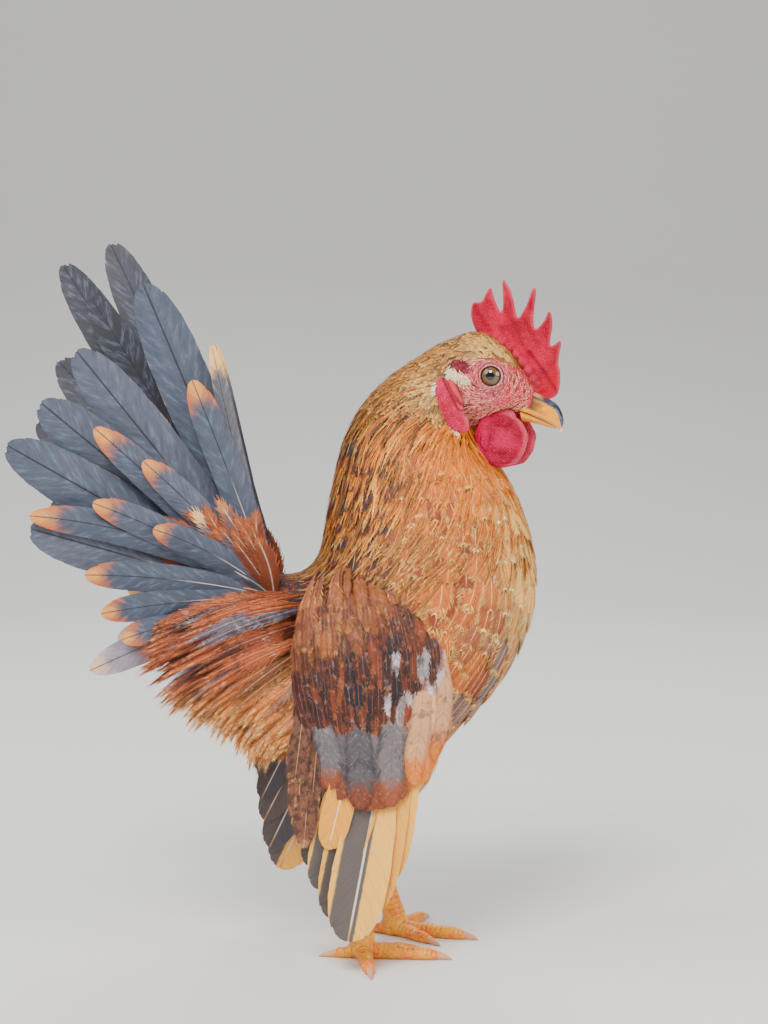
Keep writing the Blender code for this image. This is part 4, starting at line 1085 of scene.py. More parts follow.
def makeSaddle():
    dark = {"tone": tone(66, 36, 32), "scale": 120.0, "from": (0.54, 0.66), "share": 0.6}
    pale = {"tone": tone(206, 178, 168), "scale": 150.0, "from": (0.66, 0.78), "share": 0.6}
    paint = featherPaint(
        "saddlePaint", (0.35, 1.0), (0.88, 1.06), tone(232, 176, 132),
        0.05, 0.8, 0.4, 0.6, 2.0, dark, pale, 16.0,
    )
    shape = {"slant": 0.45, "camber": 0.2, "fringe": 46, "reach": 0.42, "parts": 1}
    patterns = [vanePattern(lanceShape, seed, 8, 4, **shape) for seed in (8, 9, 10, 15)]
    made = []
    keys = np.linspace(0, 1, len(saddle["tips"]))
    table = np.array(saddle["tips"])
    for side, word in sides:
        draw = np.random.default_rng(saddle["seed"])
        count = saddle["count"]
        fan = np.sort((np.arange(count) + draw.random(count)) / count)
        depth = draw.random(count)  # 0 is short and high, 1 reaches the fan's edge
        low, high = saddle["place"]
        place = low + (high - low) * (1 - depth) * draw.uniform(0.6, 1, count)
        low, high = saddle["angle"]
        angle = np.radians(low + (high - low) * (0.15 + 0.7 * fan + 0.15 * draw.random(count)))
        root = onBody(place, side * angle, -1.5)
        tip = np.stack([np.interp(fan, keys, table[:, k]) for k in range(3)], 1)
        tip[:, 1] *= side
        share = 0.62 + 0.38 * depth**0.8
        share *= draw.uniform(0.94, 1.02, count)
        run = (tip - root) * share[:, None]
        s = np.linspace(0, 1, 12)[None, :, None]
        paths = root[:, None] + run[:, None] * s
        bow = np.sin(np.minimum(s * 1.7, 1.0) * math.pi / 2)[..., 0]
        reach = np.abs(tip[:, 1]) - 4.0 * depth + 1.0
        out = np.abs(root[:, 1])[:, None] + (reach - np.abs(root[:, 1]))[:, None] * bow
        out += (1 - depth)[:, None] * 3.4 * s[0, :, 0][None]
        paths[..., 1] = side * np.maximum(out, 0)
        paths[..., 2] += 3.0 * np.sin(math.pi * s[..., 0]) * (1 - fan)[:, None]
        outs = unit(np.broadcast_to(np.array([0, side, 0.25]), paths.shape))
        luck, lot = draw.random(count), draw.random(count)
        colours = saddleColours(paths[:, -1], luck, lot)
        width = saddle["halfWidth"] * draw.uniform(0.8, 1.25, count)
        roots = bodyPatch(place, side * angle)
        made.append(layFeathers("saddle" + word, paint, paths, outs, width, patterns, colours, roots, luck))
    return made


saddlePieces = makeSaddle()
print("saddle")


# ---- wings: a pad with tiers of coverts, over long flight feathers
wing = {
    "shoulder": (-8.0, 128.0), "swing": {right: 0.0, left: math.radians(14)}, "wrap": 2.6,
    # height, rear x, front x, middle y, half thickness
    "pad": [
        (78.0, -33.0, 13.0, 37.6, 2.6), (88.0, -36.5, 15.8, 38.0, 3.6), (100.0, -38.0, 16.6, 38.0, 4.4),
        (114.0, -38.0, 14.5, 37.0, 5.0), (128.0, -35.5, 8.0, 35.0, 4.8), (138.0, -31.0, 1.0, 31.5, 3.6),
        (143.0, -24.0, -6.0, 28.5, 2.2),
    ],
    # tip x, tip z, root x, half width, from the front of the wing to its back
    # then whether the feather is mostly tan, from the innermost layer to the outermost
    "flights": [
        (-35.0, 48.0, -26.0, 4.6, 0.5), (-31.5, 38.0, -20.5, 5.4, 0.2), (-28.5, 30.0, -15.5, 6.4, 0.3),
        (-24.0, 20.0, -10.5, 7.4, 0.25), (-5.5, 33.0, 5.0, 6.4, 1.0), (-10.5, 22.0, 2.5, 6.8, 0.8),
        (-18.3, 12.4, -4.5, 10.0, 0.0), (-25.0, 45.0, -15.0, 5.4, 0.9),
    ],
    "tertials": [
        (-33.5, 45.0, -29.0, 4.6), (-36.0, 55.0, -31.0, 4.2), (-30.5, 62.0, -27.0, 4.4),
        (-36.5, 68.0, -32.5, 4.0),
    ],
    # x, z and reach of the shoulder's pale and black spots
    "pale": [
        (-1.5, 110, 1.6), (-4.5, 98, 3.2), (0.5, 97, 3.0), (10, 113, 2.6), (13, 104, 3.4), (6, 98, 2.4),
    ],
    "black": [(-2, 117, 5), (-28, 104, 4), (-12, 122, 3.5), (3, 126, 3.5), (-30, 122, 4)],
    "flightRoot": 86.0, "flightTwist": math.radians(2),
}


def swung(points, side):
    turn = wing["swing"][side]
    atX, atZ = wing["shoulder"]
    x, z = points[..., 0] - atX, points[..., 2] - atZ
    cos, sin = math.cos(turn), math.sin(turn)
    return np.stack([atX + x * cos + z * sin, points[..., 1], atZ - x * sin + z * cos], -1)


def onWing(side, across, height, lift):
    # across runs from -1 at the rear edge to 1 at the front
    across, height, lift = np.broadcast_arrays(np.asarray(across, float), height, lift)
    pad = np.array(wing["pad"])
    rear, front, middle, half = (np.interp(height, pad[:, 0], pad[:, k]) for k in (1, 2, 3, 4))
    inside = np.clip(1 - across**2, 0, 1)
    y = middle + half * np.sqrt(inside) + lift - wing["wrap"] * across**2
    return swung(np.stack([(rear + front) / 2 + (front - rear) / 2 * across, side * y, height], -1), side)


def spotShare(x, z, spots, tall):
    # soft spots on the shoulder, taller than wide
    share = np.zeros_like(x)
    for atX, atZ, reach in spots:
        share = np.maximum(share, np.exp(-(((x - atX) / reach) ** 2 + ((z - atZ) / (reach * tall)) ** 2)))
    return share


def wingColours(spots, luck, lot):
    x, z = spots[:, 0], spots[:, 2]
    wine, rust, coal = tone(88, 48, 42), tone(142, 76, 50), tone(46, 44, 52)
    first = wave(np.stack([x, x * 0, z * 0.7], 1), 11.0, 51)
    second = wave(np.stack([x * 1.3, x * 0, z], 1), 15.0, 52)
    centre = blend(wine, rust, ramp(first + 0.9 * (luck - 0.5), 0.45, 0.75))
    centre = blend(centre, coal, ramp(second + 0.7 * (lot - 0.5), 0.52, 0.7))
    rim = blend(tone(134, 74, 52), tone(190, 126, 86), luck)
    rim = blend(rim, tone(98, 56, 48), ramp(lot, 0.5, 0.8))
    rim = blend(rim, tone(166, 152, 158), ramp(-lot, -0.1, -0.06) * 0.8)
    rear = 1 - ramp(x, -36, -26)
    centre = blend(centre, tone(74, 36, 34), rear * 0.7)
    rim = blend(rim, tone(108, 60, 50), rear * 0.6)
    pale, black = spotShare(x, z, wing["pale"], 2.4), spotShare(x, z, wing["black"], 1.6)
    black = ramp(black + 0.3 * (lot - 0.5), 0.45, 0.8)
    centre, rim = blend(centre, coal, black * 0.9), blend(rim, tone(92, 66, 62), black * 0.8)
    pale = ramp(pale + 0.9 * (luck - 0.5), 0.5, 0.9)
    centre = blend(centre, tone(206, 198, 204), pale * 0.8)
    rim = blend(rim, tone(250, 240, 232), pale * 0.85)
    top = ramp(z - 0.35 * x, 118, 134)
    centre = blend(centre, blend(tone(120, 64, 48), tone(186, 118, 76), lot), top * 0.8)
    rim = blend(rim, blend(tone(172, 104, 70), tone(240, 194, 138), luck), top * 0.85)
    return centre, rim


def wingRoots(side, across, height):
    # the pads' own part of the unwrap
    u = 0.62 + 0.16 * (np.asarray(across) + 1) / 2
    v = (0.04 if side == right else 0.52) + 0.4 * (np.asarray(height) - 60) / 90
    return np.stack([u, v], 1)


def padPaths(side, across, height, length, s, raised, narrow, lean):
    # feathers that lie down over the pad and, below it, hang straight on
    at = across[:, None] * (1 - narrow * s)
    paths = onWing(side, at, height[:, None] - length[:, None] * s, raised)
    return paths, unit(np.stack([lean * at, np.full_like(at, side), 0 * at], -1))


def makeWing(side, word):
    made = []
    draw = np.random.default_rng(61)
    dark = {"tone": tone(50, 40, 44), "scale": 170.0, "from": (0.5, 0.68), "share": 0.65}
    pale = {"tone": tone(196, 150, 122), "scale": 420.0, "from": (0.6, 0.76), "share": 0.4}
    small = featherPaint(
        "shoulderPaint" + word, (0.45, 1.0), (0.9, 1.06), tone(196, 148, 114),
        0.035, 0.6, 0.28, 1.6, 6.0, dark, pale,
    )
    shape = {"fringe": 20, "reach": 0.4, "camber": 0.2, "hair": 0.55}
    soft = [vanePattern(leafShape, seed, 7, 3, 0.5, **shape) for seed in (11, 12, 13, 16)]
    across, height = [], []
    pad = np.array(wing["pad"])
    for k, level in enumerate(np.linspace(140, 98, 19)):
        span = np.interp(level, pad[:, 0], pad[:, 2] - pad[:, 1])
        count = max(int(span / 2.5), 4)
        at = -0.98 + 1.96 * (np.arange(count) + 0.5 * (k % 2) + draw.normal(0, 0.22, count) + 0.25) / count
        across.append(np.clip(at, -1, 1))
        height.append(np.full(count, level) + draw.normal(0, 1.2, count))
    across, height = np.concatenate(across), np.concatenate(height)
    count = len(across)
    length = 13.5 + 6.0 * (140 - height) / 42 + draw.normal(0, 2.0, count)
    width = 1.75 + 0.7 * (140 - height) / 42 + draw.normal(0, 0.25, count)
    luck, lot = draw.random(count), draw.random(count)
    spots = onWing(side, across, height - length * 0.6, 0.0)
    colours = wingColours(spots, luck, lot)
    lift = 1.9 + 0.6 * draw.random(count) - 2.2 * ramp(height, 131, 140)
    sunk = (3.2 + 6.5 * ramp(height, 122, 138))[:, None]
    s = np.linspace(0, 1, 10)[None]
    raised = lift[:, None] + draw.normal(0, 0.2, count)[:, None] * s - sunk * (1 - np.minimum(s / 0.5, 1.0))
    paths, outs = padPaths(side, across, height, length, s, raised, 0.08, 0.45)
    roots = wingRoots(side, across, height)
    luck = draw.random(count)
    made.append(layFeathers("shoulder" + word, small, paths, outs, width, soft, colours, roots, luck))

    # greater coverts: broad slate feathers with rust tips, and the paler group at the front
    white = {"tone": tone(220, 216, 220), "scale": 900.0, "from": (0.5, 0.85), "share": 0.18}
    smoke = {"tone": tone(58, 56, 64), "scale": 150.0, "from": (0.54, 0.66), "share": 0.5}
    covert = featherPaint(
        "covertPaint" + word, (0.9, 1.25), (0.74, 0.88), tone(90, 84, 90),
        0.025, 0.34, 0.4, 1.3, 6.0, smoke, white,
    )
    broad = vanePattern(roundShape, 71, 30, 7, 0.4, 0.16, fringe=64, reach=0.14, hair=0.5)
    across = np.array([-0.84, -0.66, -0.5, -0.34, -0.18, -0.02, 0.14, 0.3, 0.44, 0.56, 0.68, 0.8, 0.9, 0.98])
    height = np.array([98, 99, 100, 101, 101, 102, 103, 104, 106, 109, 112, 115, 117, 118.0])
    tips = np.array([70, 66, 62.5, 60.6, 59.4, 59.0, 59.2, 60.2, 62.6, 66.0, 67.6, 69.0, 72.0, 76.0])
    width = np.array([4.8, 5.0, 5.2, 5.4, 5.6, 5.6, 5.6, 5.4, 5.0, 4.6, 4.4, 4.4, 4.0, 3.6])
    luck = draw.random(len(across))
    slate = blend(tone(96, 90, 94), tone(128, 120, 120), luck)
    front = ramp(across, 0.4, 0.6)
    centre = blend(slate, tone(210, 166, 134), front)
    rim = blend(blend(tone(126, 70, 48), tone(158, 92, 62), luck), tone(212, 136, 80), front)
    lift = 2.3 + 0.55 * (np.arange(len(across)) * 2 % 3) + 0.4 * front
    s = np.linspace(0, 1, 12)[None]
    raised = lift[:, None] - 3.4 * (1 - np.minimum(s / 0.45, 1.0))
    paths = padPaths(side, across, height, height - tips, s, raised, 0.05, 0.4)
    made.append(largeFeathers("greaterCoverts" + word, covert, *paths, width, broad, (centre, rim), draw, 4))

    # flight feathers, then the mottled tertials over their rear
    flight = quillPaint("flightPaint" + word, paintedLightShare=0.12)
    long = vanePattern(broadShape, 72, 60, 7, 0.2, 0.12, ragged=0.006, shaft=0.035, splits=2)
    rows = np.array(wing["flights"])
    paths, outs = hangingPaths(side, rows, 37.6, 0.75)
    share = rows[:, 4]
    luck = draw.random(len(rows))
    tan = blend(tone(232, 174, 102), tone(244, 198, 134), luck)
    grey = blend(tone(84, 76, 74), tone(106, 98, 94), luck)
    dark, pale = blend(grey, tan, ramp(share, 0.6, 0.9)), tan
    if side == left:
        dark, pale = grey, blend(tone(92, 90, 98), tan, ramp(luck, 0.85, 0.95))
    colours = (pale, dark) if side == right else (dark, pale)
    made.append(largeFeathers("flights" + word, flight, paths, outs, rows[:, 3], long, colours, draw, 3))
    rows = np.array(wing["tertials"])
    paths, outs = hangingPaths(side, rows, 41.0, 0.4, 14.0, 4.5)
    mottled = {"tone": tone(60, 44, 40), "scale": 420.0, "from": (0.42, 0.62), "share": 0.75}
    paint = featherPaint(
        "tertialPaint" + word, (0.8, 1.0), (0.9, 1.0), tone(220, 180, 140),
        0.03, 0.5, 0.5, 1.3, 6.0, mottled,
    )
    centre = blend(tone(136, 92, 70), tone(112, 78, 64), draw.random(len(rows)))
    rim = blend(tone(172, 122, 92), tone(194, 150, 116), draw.random(len(rows)))
    fringed = vanePattern(broadShape, 73, 30, 6, 0.3, 0.14, fringe=60, reach=0.12, shaft=0.03)
    colours = centre, rim
    made.append(largeFeathers("tertials" + word, paint, paths, outs, rows[:, 3], fringed, colours, draw, 2))
    return made


def hangingPaths(side, rows, outward, layer, rootUp=0.0, rootIn=0.0):
    # long feathers that hang from the wing, each layer a little further out
    paths, outs = [], []
    for k, row in enumerate(rows):
        tipX, tipZ, rootX = row[:3]
        root = np.array([rootX, side * (outward + 0.1 * k - rootIn), wing["flightRoot"] + rootUp])
        tip = np.array([tipX, side * (outward - 1.6 + layer * k), tipZ])
        run = tip - root
        s = np.linspace(0, 1, 14)[:, None]
        path = root + run * s + np.array([0, side * 2.0, 0]) * np.sin(math.pi * s)
        flat = unit(np.array([-run[2], 0, run[0]])) * math.cos(wing["flightTwist"])
        flat = (flat + np.array([0, side * math.sin(wing["flightTwist"]), 0])) * side
        along = unit(np.gradient(path, axis=0))
        paths.append(swung(path, side))
        outs.append(unit(np.cross(along, np.broadcast_to(flat, along.shape))))
    return np.array(paths), np.array(outs)


wingPieces = [obj for side, word in sides for obj in makeWing(side, word)]
print("wings")


# ---- eyes, modelled with their pole outwards so that the rings follow their own map
eyes = {"radius": 4.6, "opening": 3.5, "cheek": 11.2}


def toBird(obj, name, paint):
    # a piece modelled in the bird's frame takes its place in the scene, with its object at the origin
    useTools(obj)
    bpy.ops.object.transform_apply(location=True, rotation=True, scale=True)
    obj.data.transform(Matrix.Translation(Vector(shift * mm)))
    obj.name = obj.data.name = name
    obj.data.materials.clear()
    obj.data.materials.append(paint.material)
    useTools(obj)
    bpy.ops.object.shade_smooth()
    return obj


def eyeSpot(side, out):
    return Vector(onHead(face["eye"][0], side * out, face["eye"][1]) * mm)


def eyePaint():
    paint = Paint("eyePaint", Roughness=0.04, Specular_IOR_Level=0.6, Coat_Weight=0.6, Coat_Roughness=0.02)
    at = paint.attribute("fromPupil")
    spin = paint.attribute("roundPupil")
    fibre = paint.noise(paint.vector(spin * 14.0, at * 3.0), 2.5)
    iris = paint.mix(paint.step(fibre, 0.3, 0.7), tone(84, 66, 42), tone(134, 108, 76))
    iris = paint.mix(paint.step(at, 0.62, 0.86) * 0.7, iris, tone(126, 88, 52))
    iris = paint.mix(paint.step(at, 0.82, 0.94), iris, tone(44, 24, 18))
    colour = paint.mix(paint.step(at, 0.42, 0.5), tone(10, 9, 10), iris)
    paint.colour(colour)
    return paint


def lidPaint():
    paint = Paint("lidPaint", Roughness=0.5)
    place = paint.objectPlace()
    inner = paint.attribute("fromEye")
    grain = paint.noise(place, 1400.0, 3.0)
    outer = paint.mix(paint.step(grain, 0.3, 0.7), (0.5, 0.07, 0.09), (0.8, 0.36, 0.32))
    colour = paint.mix(paint.step(inner, 3.5, 4.1), (0.06, 0.02, 0.012), outer)
    paint.colour(colour)
    paint.bump(grain, 0.0003, 0.8)
    return paint


def makeEyes():
    paint, lids = eyePaint(), lidPaint()
    made = []
    for side, word in sides:
        depth = math.sqrt(eyes["radius"] ** 2 - eyes["opening"] ** 2)
        bpy.ops.mesh.primitive_uv_sphere_add(segments=64, ring_count=48, radius=eyes["radius"] * mm)
        eye = bpy.context.object
        limit = math.sin(math.acos(depth / eyes["radius"])) * eyes["radius"]
        flat = spotsOf(eye)
        reach = np.hypot(flat[:, 0], flat[:, 1])
        front = flat[:, 2] > 0
        fromPupil = np.where(front, reach / 3.45, 1.6)
        giveValue(eye, "fromPupil", fromPupil)
        giveValue(eye, "roundPupil", np.abs(np.arctan2(flat[:, 1], flat[:, 0])))
        for vert, far, ahead in zip(eye.data.vertices, reach, front):  # the clear dome stands a little proud
            if ahead and far < limit:
                vert.co.z += 0.25 * mm * (1 - (far / limit) ** 2)
        turn = Matrix.Rotation(headTurn, 4, "Z") @ Matrix.Rotation(math.radians(-90 * side), 4, "X")
        eye.data.transform(Matrix.Translation(eyeSpot(side, eyes["cheek"] - depth)) @ turn)
        made.append(toBird(eye, "eye" + word, paint))
        # the lids: a ring with a thin dark edge, fuller above
        bpy.ops.mesh.primitive_torus_add(
            major_radius=(eyes["opening"] + 0.36) * mm, minor_radius=0.5 * mm,
            major_segments=72, minor_segments=20,
        )
        lid = bpy.context.object
        ring = spotsOf(lid)
        giveValue(lid, "fromEye", np.hypot(ring[:, 0], ring[:, 1]))
        for vert in lid.data.vertices:
            spin = math.atan2(vert.co.y, vert.co.x)
            above = max(math.sin(spin) * (-side), 0.0)
            vert.co.z *= 0.8 + 0.5 * above
            crease = 1 + 0.012 * math.sin(spin * 17) + 0.01 * math.sin(spin * 29 + 1)
            vert.co.x *= crease
            vert.co.y *= crease * (1 - 0.05 * above)
        lid.data.transform(Matrix.Translation(eyeSpot(side, eyes["cheek"] - 0.1)) @ turn)
        made.append(toBird(lid, "lids" + word, lids))
    return made


eyePieces = makeEyes()
print("eyes")


# ---- comb, wattles and earlobes: filled out from simple forms and made one by a fine remesh
comb = {
    # the blade's edge, x and z, from the rear of its foot over the points and the front lobe
    "edge": [
        (27.6, 222.6), (26.2, 225.6), (25.3, 229.2), (25.4, 232.6), (26.4, 234.3), (29.0, 234.6),
        (30.4, 236.8), (31.6, 239.2), (32.7, 239.4), (33.5, 236.8), (34.9, 232.8), (36.0, 231.0),
        (36.6, 233.4), (36.4, 237.8), (36.2, 241.2), (37.0, 242.4), (38.0, 241.0), (39.6, 238.2),
        (40.6, 234.4), (41.4, 230.6), (42.2, 228.8), (43.4, 230.6), (45.2, 234.2), (46.6, 238.4),
        (47.5, 239.5), (48.4, 238.4), (48.2, 234.4), (47.6, 229.0), (48.0, 224.9), (49.4, 225.6),
        (51.0, 227.6), (52.1, 230.3), (53.0, 231.0), (53.9, 229.4), (54.2, 225.0), (53.4, 219.2),
        (54.4, 218.8), (55.6, 219.8), (56.5, 220.6), (57.3, 219.0), (56.7, 215.4), (56.3, 212.2),
        (56.9, 209.4), (57.0, 205.8), (56.5, 202.0), (54.9, 199.7), (52.2, 199.0), (50.0, 200.2),
    ],
    "base": [(46.0, 203.4), (42.6, 208.4), (38.5, 213.5), (33.0, 218.0)],
    "foot": [
        (29.0, 223.0, 0.9), (34.0, 221.5, 1.6), (39.5, 217.5, 1.9), (44.0, 212.5, 2.1), (48.0, 206.5, 2.0),
        (50.4, 203.0, 1.5),
    ],
    "crease": [(46.0, 215.6), (49.0, 211.6), (52.4, 206.4), (55.6, 201.4)],
}


def fleshPaint(name, deep, bright, pale, calm, speckle):
    paint = Paint(
        name, Roughness=0.5, Specular_IOR_Level=0.15, Subsurface_Weight=0.06, Subsurface_Scale=0.002,
    )
    paint.shader.inputs["Subsurface Radius"].default_value = (1.0, 0.25, 0.2)
    place = paint.objectPlace()
    cells = paint.cells(place, 1900.0)
    fine = paint.noise(place, 1300.0, 2.0, 0.6)
    broad = paint.noise(place, 130.0, 3.0)
    colour = paint.mix(paint.step(broad, 0.35, 0.68), deep, bright)
    # pale speckles over the papillae, partly their own colour and partly painted highlight on them
    dense = paint.step(paint.noise(place, 480.0, 2.0), 0.35, 0.7)
    spots = (1.0 - paint.step(cells + (fine - 0.5) * 0.9, 0.1, 0.5)) * dense * speckle
    colour = paint.mix(spots * (1.0 - paint.attribute("smooth") * 0.8), colour, pale)
    colour = paint.mix(paint.attribute("smooth") * 0.7, colour, calm)
    colour = paint.mix(paint.attribute("rim") * 0.35, colour, (0.88, 0.16, 0.22))
    # painted shade in the creases and folds
    colour = paint.mix(paint.attribute("crease"), colour, (0.16, 0.0, 0.02))
    paint.colour(colour)
    folds = paint.noise(place, 330.0, 3.0, 0.5)
    paint.bump(folds * 0.6 + fine * 0.3 - cells * 0.7, 0.0006, 0.7)
    return paint


def marks(obj, **values):
    for key in ("rim", "smooth", "crease"):
        giveValue(obj, key, np.zeros(len(obj.data.vertices)) + values.get(key, 0.0))


def lineGap(points, line):
    # how far points lie from a line of short straight runs
    gap = np.full(len(points), 99.0)
    line = np.array(line)
    for a, b in zip(line[:-1], line[1:]):
        run = b - a
        t = np.clip(((points - a) @ run) / (run @ run), 0, 1)
        gap = np.minimum(gap, np.linalg.norm(points - a - t[:, None] * run, axis=1))
    return gap


def remeshed(obj, voxel, smooth=4):
    useTools(obj)
    remesh = obj.modifiers.new("remesh", "REMESH")
    remesh.mode = "VOXEL"
    remesh.voxel_size = voxel * mm
    bpy.ops.object.modifier_apply(modifier="remesh")
    soft = obj.modifiers.new("soft", "SMOOTH")
    soft.iterations = smooth
    soft.factor = 0.5
    bpy.ops.object.modifier_apply(modifier="soft")
    return obj


def joined(pieces):
    bpy.ops.object.select_all(action="DESELECT")
    for piece in pieces:
        piece.select_set(True)
    bpy.context.view_layer.objects.active = pieces[0]
    bpy.ops.object.join()
    return pieces[0]


def lump(middle, halves, turn=None, segments=40, rings=24):
    bpy.ops.mesh.primitive_uv_sphere_add(segments=segments, ring_count=rings, radius=mm, scale=halves)
    ball = bpy.context.object
    bpy.ops.object.transform_apply(location=True, rotation=True, scale=True)
    if turn is not None:
        ball.data.transform(turn.to_4x4())
    ball.data.transform(Matrix.Translation(Vector(middle) * mm))
    return ball


def makeComb():
    edge = np.array(comb["edge"]) * (1, 0.985) + (-0.25, 203 * 0.015)
    outline = list(smoothRows(edge, 4 * len(edge) - 3)) + [np.array(p) for p in comb["base"]]
    curve = bpy.data.curves.new("comb", "CURVE")
    curve.dimensions = "2D"
    curve.fill_mode = "BOTH"
    curve.extrude = 0.6 * mm
    curve.bevel_depth = 0.3 * mm
    curve.bevel_resolution = 2
    curve.offset = -0.58 * mm
    spline = curve.splines.new("POLY")
    spline.points.add(len(outline) - 1)
    for point, (x, z) in zip(spline.points, outline):
        point.co = (x * mm, z * mm, 0, 1)
    spline.use_cyclic_u = True
    blade = bpy.data.objects.new("comb", curve)
    bpy.context.scene.collection.objects.link(blade)
    useTools(blade)
    bpy.ops.object.convert(target="MESH")
    blade = bpy.context.object
    balls = [lump((x, z, 0), (r * 1.15, r * 1.15, r * 0.95)) for x, z, r in comb["foot"]]
    for (x, z, r), (x2, z2, r2) in zip(comb["foot"], comb["foot"][1:]):
        size = r + r2
        balls.append(lump(((x + x2) / 2, (z + z2) / 2, 0), (size * 0.56, size * 0.56, size * 0.48)))
    piece = remeshed(joined([blade] + balls), 0.27, 2)
    flat = spotsOf(piece)
    x, z, y = flat[:, 0], flat[:, 1], flat[:, 2]
    gap = lineGap(flat[:, :2], outline[:-4])
    # a crease along the blade, thinned a little and painted with shade
    crease = np.exp(-((lineGap(flat[:, :2], comb["crease"]) / 0.75) ** 2))
    baseGap = lineGap(flat[:, :2], comb["base"])
    fat = 1.0 + 0.8 * ramp(gap, 0.2, 6.0) * (1 - 0.5 * ramp(z, 216, 236)) + 0.15 * ramp(gap, 0.0, 1.2)
    wobble = wave(np.stack([x, z, x * 0], 1), 7.0, 91) - 0.5
    y = y * fat * (1 - 0.3 * crease) + wobble * 0.9 * ramp(z, 212, 226)
    y = y + 0.25 * np.sin(x * 1.3 + z * 0.7) * ramp(z, 205, 215)
    front = ramp(x - 0.75 * (z - 208), 51.2, 53.0) * (1 - ramp(z, 213, 218))
    rim = np.maximum(1 - ramp(gap, 0.2, 1.3), 0.9 * (1 - ramp(baseGap, 1.5, 5.0)))
    marks(piece, rim=rim, smooth=front, crease=crease * 0.45)
    moveTo(piece, onHead(x, y, z))
    piece.data.update()
    facesOut(piece)
    paint = fleshPaint(
        "combPaint", (0.33, 0.0, 0.016), (0.54, 0.0, 0.036), (0.88, 0.05, 0.14), (0.56, 0.0, 0.02), 0.55,
    )
    return toBird(piece, "comb", paint)


combPiece = makeComb()
print("comb", len(combPiece.data.polygons))

wattle = {
    "x": 36.8, "y": 5.2, "z": 184.9, "half": (9.7, 1.5, 10.0), "splay": 7, "farAhead": 1.2,
    "folds": [(37.2, 4.6, 192.6, (5.0, 1.5, 4.0)), (31.2, 6.0, 187.4, (2.6, 1.5, 7.0))],
}
earlobe = {
    "outer": (20.2, 197.6, (4.3, 1.6, 10.0)), "outerTilt": 22,
    "inner": (22.4, 202.0, (1.5, 2.3, 5.0)), "innerTilt": 28,
    "lower": (23.0, 191.8, (3.3, 1.4, 5.0)), "lowerTilt": 42,
}


def wattleCreases(reach, spin):
    # fine folds that run round the disc, deepest below and behind; the same mask paints shade into them
    lines = np.sin(reach * 19 + 2.2 * np.sin(spin * 2 + 1) + 0.7 * np.sin(spin * 7))
    behind = 0.12 + 0.88 * ramp(np.cos(spin + 2.3), 0.0, 0.7)
    return ramp(lines, 0.78, 1.0) * behind * ramp(reach, 0.2, 0.4)


def makeWattle(side, word):
    turn = Matrix.Rotation(headTurn, 3, "Z") @ Matrix.Rotation(side * math.radians(wattle["splay"]), 3, "X")
    half = wattle["half"]
    disc = lump((0, 0, 0), half, None, 96, 64)
    # a thicker rim, soft hollows and creases that run round the disc
    flat = spotsOf(disc)
    reach = np.hypot(flat[:, 0] / half[0], flat[:, 2] / half[2])
    spin = np.arctan2(flat[:, 2], flat[:, 0])
    sideWay = np.sign(flat[:, 1])
    puff = 0.35 * np.exp(-(((reach - 0.86) / 0.12) ** 2)) - 0.25 * np.exp(-((reach / 0.55) ** 2))
    flat[:, 1] += sideWay * (puff - 0.35 * wattleCreases(reach, spin)) * (1 - ramp(reach, 0.9, 1.0))
    flat[:, 1] += 0.5 * np.sin(flat[:, 0] * 0.35 + 0.6) * ramp(reach, 0.2, 0.9)
    ragged = 1 + 0.018 * np.sin(spin * 5 + 0.7) + 0.012 * np.sin(spin * 11)
    flat[:, 0] *= ragged
    flat[:, 2] *= ragged
    moveTo(disc, flat)
    disc.data.transform(turn.to_4x4())
    ahead = wattle["x"] + (wattle["farAhead"] if side == left else 0)
    disc.data.transform(Matrix.Translation(Vector(onHead(ahead, side * wattle["y"], wattle["z"]) * mm)))
    folds = [lump(onHead(x, side * y, z), size, turn) for x, y, z, size in wattle["folds"]]
    piece = remeshed(joined([disc] + folds), 0.27, 3)
    co = spotsOf(piece)
    spot = straightened(co)
    reach = np.hypot((spot[:, 0] - wattle["x"]) / half[0], (spot[:, 2] - wattle["z"]) / half[2])
    spin = np.arctan2(spot[:, 2] - wattle["z"], spot[:, 0] - wattle["x"])
    rim = ramp(reach, 0.84, 0.98) * ramp(spot[:, 0], 34, 42)
    marks(piece, rim=rim, crease=wattleCreases(reach, spin) * 0.8)
    paint = fleshPaint(
        "wattlePaint" + word, (0.32, 0.0, 0.024), (0.56, 0.0, 0.062), (0.88, 0.08, 0.2),
        (0.44, 0.0, 0.034), 0.5,
    )
    return toBird(piece, "wattle" + word, paint)


